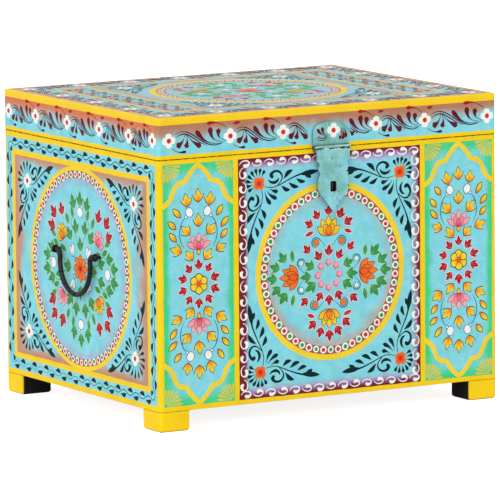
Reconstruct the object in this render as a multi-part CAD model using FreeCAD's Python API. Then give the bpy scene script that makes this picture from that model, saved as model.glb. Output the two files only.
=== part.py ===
# Painted wooden storage box with a hinged lid, a hasp and two drop handles.
# Millimetres, +Z up. The front faces -Y, and the origin lies on the floor under the middle of the box.
import FreeCAD, Part
import math
import os

# Carcass
box_width = 500.0
box_depth = 400.0
box_height = 396.0
wall = 15.0
bottom_thickness = 9.0
corner_tongue = 7.0  # wood left outside each corner rabbet of the front and back boards
bottom_rabbet = 7.0  # how far the bottom board reaches into the walls
corner_round = 5.0
edge_bevel = 0.6  # bevel on the outer edges that meet at the seam

# Lid
lid_height = 52.5
lid_wall = 15.0
lid_top_thickness = 9.0
lid_tongue = 7.0
lid_top_round = 2.0
seam_gap = 0.4

# Feet
foot_height = 26.0
foot_side = 42.0
foot_round = 4.0

# Brads that hold the boards together
brad_radius = 1.0
brad_length = 30.0
brad_sink = 0.3
body_brads_per_corner = 4
lid_brads_per_corner = 2
lid_top_brads_per_side = 4
bottom_brads_per_side = 3

# Countersunk screws
screw_head_radius = 3.0
screw_shank_radius = 1.5
screw_slot_width = 0.7
screw_slot_depth = 0.7
foot_screw_length = 27.0
foot_screw_head = 2.0
foot_screw_spread = 8.0
hinge_screw_length = 13.0
hinge_screws_per_leaf = 3

# Butt hinges
hinge_inset = 100.0  # from the end of the box to the middle of each hinge
hinge_leaf_length = 52.0
hinge_leaf_width = 12.0
hinge_leaf_thickness = 1.6
hinge_knuckle_radius = 3.6
hinge_pin_radius = 1.8
hinge_pin_head_radius = 2.8
hinge_pin_head = 1.2
hinge_standoff = 0.4  # gap between the knuckles and the back of the box
hinge_knuckles = 5

# Clearances of hinges, hasp and handles
pin_clearance = 0.05
knuckle_gap = 0.3

# Hasp
hasp_half_width = 26.0
hasp_plate_height = 33.0
hasp_plate_thickness = 1.8
hasp_knuckle_radius = 4.2
hasp_centre_knuckle = 14.0
hasp_pin_radius = 1.8
hasp_standoff = 0.6  # gap between the knuckles and the front of the box
hasp_nail_radius = 1.1
hasp_nail_head_radius = 2.2
hasp_nail_head = 1.1
hasp_nail_length = 12.0
hasp_nail_spacing = 33.0
hasp_nail_rise = 14.5
strap_half_width = 24.5
strap_length = 82.0
strap_thickness = 1.8
strap_lift = 3.0  # how far the tip is bent out for the fingers
slot_width = 9.0
slot_height = 13.4
slot_drop = 48.8  # from the hasp's pin down to the middle of the slot

# Outline of the lid plate and of the strap, as shares of half width and height or length
plate_shoulder_shares = ((1.0, 0.55), (0.84, 0.84), (0.5, 0.955))
strap_side_share = 0.17
strap_upper_shares = ((1.0, 0.17), (0.94, 0.205), (0.82, 0.215))
strap_middle_shares = ((0.82, 0.215), (0.90, 0.29), (0.765, 0.39))
strap_lower_shares = ((0.765, 0.39), (0.955, 0.53), (0.64, 0.75))
strap_tip_shares = ((0.05, 0.99), (0.0, 1.0))
strap_bend_share = 0.74

# Staple
staple_wire_radius = 1.1
staple_height = 8.4  # between the centre lines of its legs
staple_bend = 2.4
staple_clearance = 0.3  # between its crown and the back of the strap
staple_root = 12.0

# Drop handles
handle_height = 205.0
handle_half_width = 39.0
handle_leg = 8.0
handle_rod_radius = 3.25
handle_bend = 6.0
handle_taper = 4.0
handle_pivot_radius = 2.3
handle_knob_radius = 3.2
handle_knob = 2.4
handle_standoff = 8.0  # from the side of the box to the pivot line

# Split-pin eyes that carry the handles
eye_wire_radius = 1.4
eye_clearance = 0.2
eye_shank_radius = 2.0
eye_length = 5.0
clinch_length = 12.0
clinch_width = 2.6
clinch_thickness = 1.4

overrun = 5.0  # how far cutting tools pass the faces they cut
match = 0.1  # how near a corner lies to the place it is looked for at

# Derived places
half_width = box_width / 2
hinge_middle = half_width - hinge_inset
half_depth = box_depth / 2
lid_bottom = box_height - lid_height
body_top = lid_bottom - seam_gap
seam = lid_bottom - seam_gap / 2
rail_top = box_height - lid_top_thickness
hinge_axis_y = half_depth + hinge_standoff + hinge_knuckle_radius
hasp_axis_y = -half_depth - hasp_standoff - hasp_knuckle_radius
strap_front_y = hasp_axis_y - hasp_knuckle_radius
strap_back_y = strap_front_y + strap_thickness
hasp_pin_length = 2 * hasp_half_width
eye_ring_radius = handle_pivot_radius + eye_clearance + eye_wire_radius
eye_middle = handle_half_width + handle_bend + handle_taper + eye_length / 2

along_x = FreeCAD.Vector(1, 0, 0)
along_y = FreeCAD.Vector(0, 1, 0)
along_z = FreeCAD.Vector(0, 0, 1)


def point(x, y, z):
    return FreeCAD.Vector(x, y, z)


def block(low_x, low_y, low_z, high_x, high_y, high_z):
    return Part.makeBox(high_x - low_x, high_y - low_y, high_z - low_z, point(low_x, low_y, low_z))


def rod(radius, length, start, direction):
    return Part.makeCylinder(radius, length, start, direction)


def fuse(shapes):
    first = shapes[0]
    if len(shapes) == 1:
        return first
    return first.multiFuse(shapes[1:]).removeSplitter()


def line(start, end):
    return Part.makeLine(start, end)


def arc(start, middle, end):
    return Part.Arc(start, middle, end).toShape()


def edges_where(shape, test):
    return [edge for edge in shape.Edges if all(test(vertex.Point) for vertex in edge.Vertexes)]


def near(value, target):
    return abs(value - target) < match


def spread(count, reach):
    # Evenly spaced places from -reach to reach.
    step = 2 * reach / (count - 1)
    return [step * index - reach for index in range(count)]


def countersunk_screw(length, head_height, top, direction):
    # The head's flat face is at top, and the shank runs along direction.
    head = Part.makeCone(screw_head_radius, screw_shank_radius, head_height, point(0, 0, 0), along_z)
    shank = rod(screw_shank_radius, length - head_height, point(0, 0, head_height), along_z)
    half_slot = screw_slot_width / 2
    slot = block(-screw_head_radius, -half_slot, 0, screw_head_radius, half_slot, screw_slot_depth)
    screw = fuse([head, shank]).cut(slot)
    screw.Placement = FreeCAD.Placement(top, FreeCAD.Rotation(along_z, direction))
    return screw


def screw_hole(length, head_height, top, direction):
    head = Part.makeCone(screw_head_radius, screw_shank_radius, head_height, top, direction)
    shank_start = top + direction * head_height
    return fuse([head, rod(screw_shank_radius, length - head_height, shank_start, direction)])


# Places of the brads, each as the point where it was driven in and its direction


def corner_brad_places(low, high, count, thickness):
    # Through the front and back boards into the ends of the side boards.
    reach = (high - low) / 2
    x = half_width - thickness / 2
    places = []
    for side_x in (-1, 1):
        for side_y in (-1, 1):
            for height in spread(count, reach):
                place = point(side_x * x, side_y * half_depth, low + reach + height)
                places.append((place, along_y * -side_y))
    return places


def body_corner_places():
    low = foot_height + bottom_thickness + wall
    return corner_brad_places(low, body_top - wall, body_brads_per_corner, wall)


def lid_corner_places():
    rail_height = rail_top - lid_bottom
    inset = rail_height / 4
    return corner_brad_places(lid_bottom + inset, rail_top - inset, lid_brads_per_corner, lid_wall)


def lid_top_places():
    reach = half_width - 4 * lid_wall
    places = []
    for side in (-1, 1):
        for along in spread(lid_top_brads_per_side, reach):
            places.append((point(along, side * (half_depth - lid_wall / 2), box_height), -along_z))
        places.append((point(side * (half_width - lid_wall / 2), 0, box_height), -along_z))
    return places


def bottom_places():
    inset = wall - bottom_rabbet / 2
    places = []
    for side in (-1, 1):
        for along in spread(bottom_brads_per_side, half_width - 2 * foot_side):
            places.append((point(along, side * (half_depth - inset), foot_height), along_z))
        for along in spread(bottom_brads_per_side, half_depth - 2 * foot_side):
            places.append((point(side * (half_width - inset), along, foot_height), along_z))
    return places


# Fasteners, each kind a list of separate solids


def brads(places):
    return [rod(brad_radius, brad_length, place + way * brad_sink, way) for place, way in places]


def foot_screw_places():
    inset = (wall + foot_side) / 2
    top = foot_height + bottom_thickness
    offset = foot_screw_spread / 2
    places = []
    for side_x in (-1, 1):
        for side_y in (-1, 1):
            for shift in (-offset, offset):
                x = side_x * (half_width - inset + shift)
                y = side_y * (half_depth - inset - shift)
                places.append(point(x, y, top))
    return places


def hinge_screw_places(side):
    # side is -1 for the body leaves and 1 for the lid leaves.
    reach = hinge_leaf_length / 2 - 2 * screw_head_radius
    height = seam + side * seam_gap / 2
    places = []
    for middle in (-hinge_middle, hinge_middle):
        for along in spread(hinge_screws_per_leaf, reach):
            places.append(point(middle + along, half_depth - hinge_leaf_width / 2, height))
    return places


def foot_screws():
    tops = foot_screw_places()
    return [countersunk_screw(foot_screw_length, foot_screw_head, top, -along_z) for top in tops]


def hinge_screws(side):
    tops = hinge_screw_places(side)
    way = along_z * side
    return [countersunk_screw(hinge_screw_length, hinge_leaf_thickness, top, way) for top in tops]


def hasp_nail_seats():
    face = -half_depth - hasp_plate_thickness
    return [point(side * hasp_nail_spacing / 2, face, seam + hasp_nail_rise) for side in (-1, 1)]


def hasp_nails():
    # Round-headed nails that hold the lid plate.
    dome_radius = (hasp_nail_head_radius**2 + hasp_nail_head**2) / (2 * hasp_nail_head)
    nails = []
    for seat in hasp_nail_seats():
        shank = rod(hasp_nail_radius, hasp_nail_length, seat, along_y)
        ball = Part.makeSphere(dome_radius, seat + along_y * (dome_radius - hasp_nail_head))
        head = ball.common(rod(hasp_nail_head_radius, hasp_nail_head, seat, -along_y))
        nails.append(fuse([shank, head]))
    return nails


# Holes for fasteners, cut from every board that they pass through


def foot_screw_holes():
    return [screw_hole(foot_screw_length, foot_screw_head, top, -along_z) for top in foot_screw_places()]


def hinge_screw_holes(side):
    tops = hinge_screw_places(side)
    return [screw_hole(hinge_screw_length, hinge_leaf_thickness, top, along_z * side) for top in tops]


def brad_holes(places):
    return [rod(brad_radius, brad_sink + brad_length, place, way) for place, way in places]


def hasp_nail_holes():
    return [rod(hasp_nail_radius, hasp_nail_length, seat, along_y) for seat in hasp_nail_seats()]


def with_holes(board, holes):
    return board.cut(Part.makeCompound(holes))


# Carcass boards


def bottom_seat():
    reach_x = half_width - wall + bottom_rabbet
    reach_y = half_depth - wall + bottom_rabbet
    return block(-reach_x, -reach_y, foot_height, reach_x, reach_y, foot_height + bottom_thickness)


def long_board(low_z, high_z, thickness, tongue, side):
    # A front or back board or rail, rabbeted at both ends to take the side boards.
    outer = side * half_depth
    inner = side * (half_depth - thickness)
    low_y = min(outer, inner)
    board = block(-half_width, low_y, low_z, half_width, low_y + thickness, high_z)
    upright = edges_where(board, lambda p: near(p.y, outer))
    upright = [edge for edge in upright if near(edge.Length, high_z - low_z)]
    board = board.makeFillet(corner_round, upright)
    lap = side * (half_depth - tongue)
    for end in (-1, 1):
        xs = sorted((end * (half_width - thickness), end * (half_width + overrun)))
        ys = sorted((lap, inner - side * overrun))
        board = board.cut(block(xs[0], ys[0], low_z - overrun, xs[1], ys[1], high_z + overrun))
    return board


def short_board(low_z, high_z, thickness, tongue, side):
    reach = half_depth - tongue
    outer = side * half_width
    inner = side * (half_width - thickness)
    xs = sorted((outer, inner))
    return block(xs[0], -reach, low_z, xs[1], reach, high_z)


def bevel_seam_edge(board, height):
    # The outer edges at the seam are eased, which leaves a fine groove all round under the lid.
    def outer_edge(p):
        outside = near(abs(p.y), half_depth) or near(abs(p.x), half_width)
        return near(p.z, height) and outside

    edges = [edge for edge in edges_where(board, outer_edge) if edge.Length > foot_side]
    return board.makeChamfer(edge_bevel, edges)


def hinge_seat(side):
    # Recesses in the meeting edges that take the leaves of both hinges.
    seats = []
    for middle in (-hinge_middle, hinge_middle):
        zs = sorted((seam, seam + side * (seam_gap / 2 + hinge_leaf_thickness)))
        low_x = middle - hinge_leaf_length / 2
        high_x = middle + hinge_leaf_length / 2
        seats.append(block(low_x, half_depth - hinge_leaf_width, zs[0], high_x, half_depth + overrun, zs[1]))
    return Part.makeCompound(seats)


def staple_holes():
    holes = []
    for side in (-1, 1):
        start = point(0, -half_depth - overrun, seam - slot_drop + side * staple_height / 2)
        holes.append(rod(staple_wire_radius, staple_root + overrun, start, along_y))
    return holes


def eye_holes(side):
    holes = []
    for end in (-1, 1):
        start = point(side * (half_width + overrun), end * eye_middle, handle_height)
        holes.append(rod(eye_shank_radius, wall + 2 * overrun, start, along_x * -side))
    return holes


def front_board():
    board = long_board(foot_height, body_top, wall, corner_tongue, -1)
    board = bevel_seam_edge(board, body_top).cut(bottom_seat())
    return with_holes(board, brad_holes(body_corner_places() + bottom_places()) + staple_holes())


def back_board():
    board = long_board(foot_height, body_top, wall, corner_tongue, 1)
    board = bevel_seam_edge(board, body_top).cut(bottom_seat()).cut(hinge_seat(-1))
    return with_holes(board, brad_holes(body_corner_places() + bottom_places()) + hinge_screw_holes(-1))


def side_board(side):
    board = short_board(foot_height, body_top, wall, corner_tongue, side)
    board = bevel_seam_edge(board, body_top).cut(bottom_seat())
    return with_holes(board, brad_holes(body_corner_places() + bottom_places()) + eye_holes(side))


def bottom_board():
    return with_holes(bottom_seat(), brad_holes(bottom_places()) + foot_screw_holes())


def foot(side_x, side_y):
    # A block under one corner, with its bottom edges worn round.
    xs = sorted((side_x * half_width, side_x * (half_width - foot_side)))
    ys = sorted((side_y * half_depth, side_y * (half_depth - foot_side)))
    shape = block(xs[0], ys[0], 0, xs[1], ys[1], foot_height)
    corner = edges_where(shape, lambda p: near(abs(p.x), half_width) and near(abs(p.y), half_depth))
    shape = shape.makeFillet(corner_round, corner)
    shape = shape.makeFillet(foot_round, edges_where(shape, lambda p: near(p.z, 0)))
    return with_holes(shape, foot_screw_holes())


# Lid boards


def lid_long_rail(side):
    rail = long_board(lid_bottom, rail_top, lid_wall, lid_tongue, side)
    rail = bevel_seam_edge(rail, lid_bottom)
    holes = brad_holes(lid_corner_places() + lid_top_places())
    if side > 0:
        return with_holes(rail.cut(hinge_seat(1)), holes + hinge_screw_holes(1))
    return with_holes(rail, holes + hasp_nail_holes())


def lid_short_rail(side):
    rail = short_board(lid_bottom, rail_top, lid_wall, lid_tongue, side)
    rail = bevel_seam_edge(rail, lid_bottom)
    return with_holes(rail, brad_holes(lid_corner_places() + lid_top_places()))


def lid_top_board():
    board = block(-half_width, -half_depth, rail_top, half_width, half_depth, box_height)
    upright = [edge for edge in board.Edges if near(edge.Length, lid_top_thickness)]
    board = board.makeFillet(corner_round, upright)
    rim = edges_where(board, lambda p: near(p.z, box_height))
    board = board.makeFillet(lid_top_round, rim)
    return with_holes(board, brad_holes(lid_top_places()))


# Butt hinges


def knuckle_spans(length, count):
    pitch = length / count
    return [(pitch * index - length / 2, pitch * (index + 1) - length / 2) for index in range(count)]


def hinge_leaf(middle, side):
    spans = knuckle_spans(hinge_leaf_length, hinge_knuckles)
    own = spans[0::2] if side < 0 else spans[1::2]
    other = spans[1::2] if side < 0 else spans[0::2]
    zs = sorted((seam + side * seam_gap / 2, seam + side * (seam_gap / 2 + hinge_leaf_thickness)))
    low_x = middle - hinge_leaf_length / 2
    high_x = middle + hinge_leaf_length / 2
    plate = block(low_x, half_depth - hinge_leaf_width, zs[0], high_x, hinge_axis_y, zs[1])
    half_gap = knuckle_gap / 2
    for low, high in other:
        start = point(middle + low - half_gap, hinge_axis_y, seam)
        plate = plate.cut(rod(hinge_knuckle_radius + knuckle_gap, high - low + knuckle_gap, start, along_x))
    knuckles = []
    for low, high in own:
        start = point(middle + low + half_gap, hinge_axis_y, seam)
        knuckles.append(rod(hinge_knuckle_radius, high - low - knuckle_gap, start, along_x))
    leaf = fuse([plate] + knuckles)
    bore_start = point(low_x - overrun, hinge_axis_y, seam)
    bore = rod(hinge_pin_radius + pin_clearance, hinge_leaf_length + 2 * overrun, bore_start, along_x)
    return with_holes(leaf.cut(bore), hinge_screw_holes(side))


def hinge_pin(middle):
    low_x = middle - hinge_leaf_length / 2
    pin = rod(hinge_pin_radius, hinge_leaf_length, point(low_x, hinge_axis_y, seam), along_x)
    heads = []
    for end in (-1, 1):
        seat = point(middle + end * hinge_leaf_length / 2, hinge_axis_y, seam)
        base = hinge_pin_head_radius
        tip = hinge_pin_radius
        heads.append(Part.makeCone(base, tip, hinge_pin_head, seat, along_x * end))
    return fuse([pin] + heads)


# Hasp


def hasp_place(share, height_sign, half, length, end=1):
    # A point of an outline in the plane of the front, from its shares.
    return point(end * share[0] * half, 0, seam + height_sign * share[1] * length)


def outline_prism(edges, low_y, high_y):
    face = Part.Face(Part.Wire(edges))
    face.translate(point(0, low_y, 0))
    return face.extrude(point(0, high_y - low_y, 0))


def hasp_plate_prism(low_y, high_y):
    def at(share, end):
        return hasp_place(share, 1, hasp_half_width, hasp_plate_height, end)

    side, middle, top = plate_shoulder_shares
    foot_left = point(-hasp_half_width, 0, lid_bottom)
    foot_right = point(hasp_half_width, 0, lid_bottom)
    crown = point(0, 0, seam + hasp_plate_height)
    edges = [
        line(foot_right, foot_left),
        line(foot_left, at(side, -1)),
        arc(at(side, -1), at(middle, -1), at(top, -1)),
        arc(at(top, -1), crown, at(top, 1)),
        arc(at(top, 1), at(middle, 1), at(side, 1)),
        line(at(side, 1), foot_right),
    ]
    return outline_prism(edges, low_y, high_y)


def hasp_knuckle(low_x, high_x, extra=0.0):
    start = point(low_x, hasp_axis_y, seam)
    return rod(hasp_knuckle_radius + extra, high_x - low_x, start, along_x)


def hasp_bore():
    start = point(-hasp_half_width - overrun, hasp_axis_y, seam)
    return rod(hasp_pin_radius + pin_clearance, 2 * (hasp_half_width + overrun), start, along_x)


def hasp_plate():
    half_centre = hasp_centre_knuckle / 2
    plate = hasp_plate_prism(-half_depth - hasp_plate_thickness, -half_depth)
    plate = plate.cut(hasp_knuckle(-half_centre - knuckle_gap, half_centre + knuckle_gap, knuckle_gap))
    left = hasp_knuckle(-hasp_half_width, -half_centre - knuckle_gap)
    right = hasp_knuckle(half_centre + knuckle_gap, hasp_half_width)
    plate = fuse([plate, left, right]).cut(hasp_bore())
    return with_holes(plate, hasp_nail_holes())


def hasp_pin():
    return rod(hasp_pin_radius, hasp_pin_length, point(-hasp_half_width, hasp_axis_y, seam), along_x)


def strap_outline():
    def at(share, end):
        return hasp_place(share, -1, strap_half_width, strap_length, end)

    def side_edges(end):
        edges = [line(at((1.0, 0.0), end), at((1.0, strap_side_share), end))]
        for shares in (strap_upper_shares, strap_middle_shares, strap_lower_shares):
            edges.append(arc(*[at(share, end) for share in shares]))
        edges.append(line(at(strap_lower_shares[-1], end), at(strap_tip_shares[0], end)))
        return edges

    near_tip, tip = strap_tip_shares
    top = line(at((1.0, 0.0), -1), at((1.0, 0.0), 1))
    point_edge = arc(at(near_tip, -1), at(tip, 1), at(near_tip, 1))
    return side_edges(-1) + [point_edge] + side_edges(1)[::-1] + [top]


def strap_sheet():
    # Side view of the sheet: plumb from the pin, then bent out towards the tip.
    bend = seam - strap_length * strap_bend_share
    low = seam - strap_length - overrun
    run = bend - low
    middle_lift = strap_lift / 4
    front = [point(0, strap_front_y, seam), point(0, strap_front_y, bend)]
    back = [point(0, strap_back_y, seam), point(0, strap_back_y, bend)]
    front_low = point(0, strap_front_y - strap_lift, low)
    back_low = point(0, strap_back_y - strap_lift, low)
    edges = [
        line(front[0], front[1]),
        arc(front[1], point(0, strap_front_y - middle_lift, bend - run / 2), front_low),
        line(front_low, back_low),
        arc(back_low, point(0, strap_back_y - middle_lift, bend - run / 2), back[1]),
        line(back[1], back[0]),
        line(back[0], front[0]),
    ]
    face = Part.Face(Part.Wire(edges))
    face.translate(point(-hasp_half_width, 0, 0))
    return face.extrude(point(2 * hasp_half_width, 0, 0))


def hasp_strap():
    prism = outline_prism(strap_outline(), strap_front_y - strap_lift - overrun, strap_back_y + overrun)
    sheet = strap_sheet().common(prism)
    half_centre = hasp_centre_knuckle / 2
    for low, high in ((-hasp_half_width - overrun, -half_centre), (half_centre, hasp_half_width + overrun)):
        sheet = sheet.cut(hasp_knuckle(low, high, knuckle_gap))
    strap = fuse([sheet, hasp_knuckle(-half_centre, half_centre)]).cut(hasp_bore())
    half_slot = slot_width / 2
    middle = seam - slot_drop
    low_z = middle - slot_height / 2
    high_z = middle + slot_height / 2
    slot = block(-half_slot, strap_front_y - overrun, low_z, half_slot, strap_back_y + overrun, high_z)
    upright = [edge for edge in slot.Edges if near(edge.Length, strap_thickness + 2 * overrun)]
    return strap.cut(slot.makeFillet(slot_width / 4, upright))


def pipe(edges, radius, start, direction):
    path = Part.Wire(edges)
    section = Part.Wire([Part.makeCircle(radius, start, direction)])
    return path.makePipeShell([section], True, False)


def hasp_staple():
    crown_y = strap_back_y + staple_clearance + staple_wire_radius
    root_y = -half_depth + staple_root
    middle = seam - slot_drop
    reach = staple_height / 2
    knee = staple_bend * (1 - math.cos(math.pi / 4))
    edges = [line(point(0, root_y, middle + reach), point(0, crown_y + staple_bend, middle + reach))]
    for end in (1, -1):
        outside = point(0, crown_y + staple_bend, middle + end * reach)
        bend = point(0, crown_y + knee, middle + end * (reach - knee))
        inside = point(0, crown_y, middle + end * (reach - staple_bend))
        if end > 0:
            edges.append(arc(outside, bend, inside))
            edges.append(line(inside, point(0, crown_y, middle - reach + staple_bend)))
        else:
            edges.append(arc(inside, bend, outside))
            edges.append(line(outside, point(0, root_y, middle - reach)))
    return pipe(edges, staple_wire_radius, point(0, root_y, middle + reach), along_y)


# Drop handles


def bow_edges(x):
    # Turned out at the top of each leg, with a half-round bow below.
    knee = handle_bend * (1 - math.cos(math.pi / 4))
    leg_top = handle_height - handle_bend
    leg_foot = leg_top - handle_leg
    turns = []
    legs = []
    for end in (1, -1):
        out = point(x, end * (handle_half_width + handle_bend), handle_height)
        bend = point(x, end * (handle_half_width + knee), handle_height - knee)
        top = point(x, end * handle_half_width, leg_top)
        turns.append(arc(out, bend, top))
        legs.append(line(top, point(x, end * handle_half_width, leg_foot)))
    low = point(x, 0, leg_foot - handle_half_width)
    bow = arc(point(x, handle_half_width, leg_foot), low, point(x, -handle_half_width, leg_foot))
    return [turns[0], legs[0], bow, legs[1], turns[1]]


def handle(side):
    x = side * (half_width + handle_standoff)
    start_y = handle_half_width + handle_bend
    bow = pipe(bow_edges(x), handle_rod_radius, point(x, start_y, handle_height), along_y)
    pieces = [bow]
    for end in (-1, 1):
        outward = along_y * end
        taper_start = point(x, end * start_y, handle_height)
        taper_end = taper_start + outward * handle_taper
        wide = handle_rod_radius
        narrow = handle_pivot_radius
        pieces.append(Part.makeCone(wide, narrow, handle_taper, taper_start, outward))
        pieces.append(rod(narrow, eye_length, taper_end, outward))
        knob_start = taper_end + outward * eye_length
        pieces.append(rod(handle_knob_radius, handle_knob, knob_start, outward))
    knobbed = fuse(pieces)
    end_y = start_y + handle_taper + eye_length + handle_knob
    rims = [edge for edge in knobbed.Edges if edge.Closed and near(abs(edge.CenterOfMass.y), end_y)]
    return knobbed.makeFillet(handle_knob / 2, rims)


def handle_eye(side, end):
    # A wire ring round the pivot, a shank through the board, and two ends bent flat on the inside.
    centre = point(side * (half_width + handle_standoff), end * eye_middle, handle_height)
    ring = Part.makeTorus(eye_ring_radius, eye_wire_radius, centre, along_y)
    inner_face = side * (half_width - wall)
    shank_start = centre - along_x * (side * eye_ring_radius)
    shank_length = handle_standoff - eye_ring_radius + wall + clinch_thickness
    shank = rod(eye_shank_radius, shank_length, shank_start, along_x * -side)
    xs = sorted((inner_face, inner_face - side * clinch_thickness))
    half_clinch = clinch_width / 2
    low_y = end * eye_middle - half_clinch
    low_z = handle_height - clinch_length
    clinch = block(xs[0], low_y, low_z, xs[1], low_y + clinch_width, handle_height + clinch_length)
    hollow_radius = handle_pivot_radius + eye_clearance
    hollow = rod(hollow_radius, eye_length, centre - along_y * (eye_length / 2), along_y)
    return fuse([ring, shank, clinch]).cut(hollow)


def handle_eyes(side):
    return Part.makeCompound([handle_eye(side, -1), handle_eye(side, 1)])


def all_parts():
    parts = {
        "front_board": front_board(),
        "back_board": back_board(),
        "left_board": side_board(-1),
        "right_board": side_board(1),
        "bottom_board": bottom_board(),
        "body_corner_brads": Part.makeCompound(brads(body_corner_places())),
        "bottom_brads": Part.makeCompound(brads(bottom_places())),
        "foot_screws": Part.makeCompound(foot_screws()),
        "lid_top_board": lid_top_board(),
        "lid_front_rail": lid_long_rail(-1),
        "lid_back_rail": lid_long_rail(1),
        "lid_left_rail": lid_short_rail(-1),
        "lid_right_rail": lid_short_rail(1),
        "lid_corner_brads": Part.makeCompound(brads(lid_corner_places())),
        "lid_top_brads": Part.makeCompound(brads(lid_top_places())),
        "hinge_body_screws": Part.makeCompound(hinge_screws(-1)),
        "hinge_lid_screws": Part.makeCompound(hinge_screws(1)),
        "hasp_plate": hasp_plate(),
        "hasp_pin": hasp_pin(),
        "hasp_strap": hasp_strap(),
        "hasp_nails": Part.makeCompound(hasp_nails()),
        "hasp_staple": hasp_staple(),
    }
    for name_x, side_x in (("left", -1), ("right", 1)):
        middle = side_x * hinge_middle
        parts[name_x + "_hinge_body_leaf"] = hinge_leaf(middle, -1)
        parts[name_x + "_hinge_lid_leaf"] = hinge_leaf(middle, 1)
        parts[name_x + "_hinge_pin"] = hinge_pin(middle)
        parts[name_x + "_handle"] = handle(side_x)
        parts[name_x + "_handle_eyes"] = handle_eyes(side_x)
        for name_y, side_y in (("front", -1), ("back", 1)):
            parts[name_y + "_" + name_x + "_foot"] = foot(side_x, side_y)
    return parts


os.makedirs("parts", exist_ok=True)
for name, shape in all_parts().items():
    shape.exportStep(os.path.join("parts", name + ".step"))
    print(name, len(shape.Solids), round(shape.Volume), shape.isValid())
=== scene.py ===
import cmath
import math
import random

import bpy
from mathutils import Matrix, Vector


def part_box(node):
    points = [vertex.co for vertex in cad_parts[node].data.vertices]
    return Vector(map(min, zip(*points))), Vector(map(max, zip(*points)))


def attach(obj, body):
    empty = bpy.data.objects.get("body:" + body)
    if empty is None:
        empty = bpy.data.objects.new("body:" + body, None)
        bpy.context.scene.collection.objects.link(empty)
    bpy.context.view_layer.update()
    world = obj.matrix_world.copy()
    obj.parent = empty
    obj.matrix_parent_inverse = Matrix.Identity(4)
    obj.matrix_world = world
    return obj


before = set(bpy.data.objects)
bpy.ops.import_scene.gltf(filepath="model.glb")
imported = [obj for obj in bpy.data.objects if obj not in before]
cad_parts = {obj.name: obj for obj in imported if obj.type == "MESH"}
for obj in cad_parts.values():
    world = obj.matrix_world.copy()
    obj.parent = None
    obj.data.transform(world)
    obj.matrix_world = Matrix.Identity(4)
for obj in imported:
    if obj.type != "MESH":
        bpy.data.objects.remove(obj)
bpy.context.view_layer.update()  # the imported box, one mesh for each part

mm = 0.001
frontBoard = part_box("front_board")
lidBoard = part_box("lid_top_board")
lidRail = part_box("lid_front_rail")
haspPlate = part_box("hasp_plate")

halfWidth = lidBoard[1].x / mm
halfDepth = lidBoard[1].y / mm
bodyLow = frontBoard[0].z / mm
bodyHigh = frontBoard[1].z / mm
bodyHalf = (bodyHigh - bodyLow) / 2
bodyMiddle = (bodyLow + bodyHigh) / 2
lidLow = lidRail[0].z / mm
railTop = lidRail[1].z / mm
lidTop = lidBoard[1].z / mm
seam = (bodyHigh + lidLow) / 2


def seen(red, green, blue):
    # a colour as it looks, turned into the linear values of the shaders
    linear = []
    for level in (red / 255, green / 255, blue / 255):
        linear.append(level / 12.92 if level <= 0.04045 else ((level + 0.055) / 1.055) ** 2.4)
    return (*linear, 1.0)


paints = {
    "yellow": (255, 213, 8), "ringYellow": (255, 217, 50), "petalYellow": (255, 216, 50),
    "ochre": (232, 206, 66), "amber": (255, 224, 56), "amberCore": (248, 112, 34), "orange": (252, 128, 45),
    "flame": (240, 85, 35), "turquoise": (125, 218, 234), "dullTurquoise": (134, 204, 216),
    "emerald": (54, 214, 130), "green": (54, 142, 80), "lightGreen": (70, 160, 92),
    "veinGreen": (120, 196, 124), "paleGreen": (176, 218, 150),
    "maroon": (118, 20, 42), "wine": (104, 20, 33), "plum": (66, 16, 46), "purple": (150, 88, 142),
    "lavender": (168, 172, 212), "brown": (202, 140, 106), "lidBrown": (188, 118, 74), "rust": (222, 116, 52),
    "red": (218, 45, 38), "leafRed": (178, 22, 36), "veinRed": (230, 130, 132), "darkRed": (132, 30, 16),
    "palePink": (252, 216, 220), "pink": (246, 150, 172), "lightPink": (255, 184, 194), "rose": (226, 46, 86),
    "deepRose": (150, 28, 52), "blue": (60, 120, 175), "ink": (6, 36, 44), "stem": (18, 52, 74),
    "beadBrown": (165, 95, 78), "beadRed": (214, 55, 62), "beadGreen": (40, 160, 85),
    # the third colour on the next line is dirt and painted shade along the gap under the lid and the joints
    # over the feet
    "umber": (112, 58, 14), "olive": (46, 46, 18), "grimeAndShade": (62, 42, 12), "black": (24, 22, 22),
    "white": (252, 252, 245), "ice": (190, 225, 245),
}
tin = {name: seen(*levels) for name, levels in paints.items()}
pureWhite = (1.0, 1.0, 1.0, 1.0)


def feed(socket, value):
    if isinstance(value, Flow):
        value.tree.links.new(value.socket, socket)
    else:
        socket.default_value = value


def arithmetic(operation):
    # a sum on a flow and, for most of them, on one other value
    def work(flow, *others):
        return flow.node("Math", dict(enumerate((flow, *others))), operation=operation)

    return work


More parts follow.
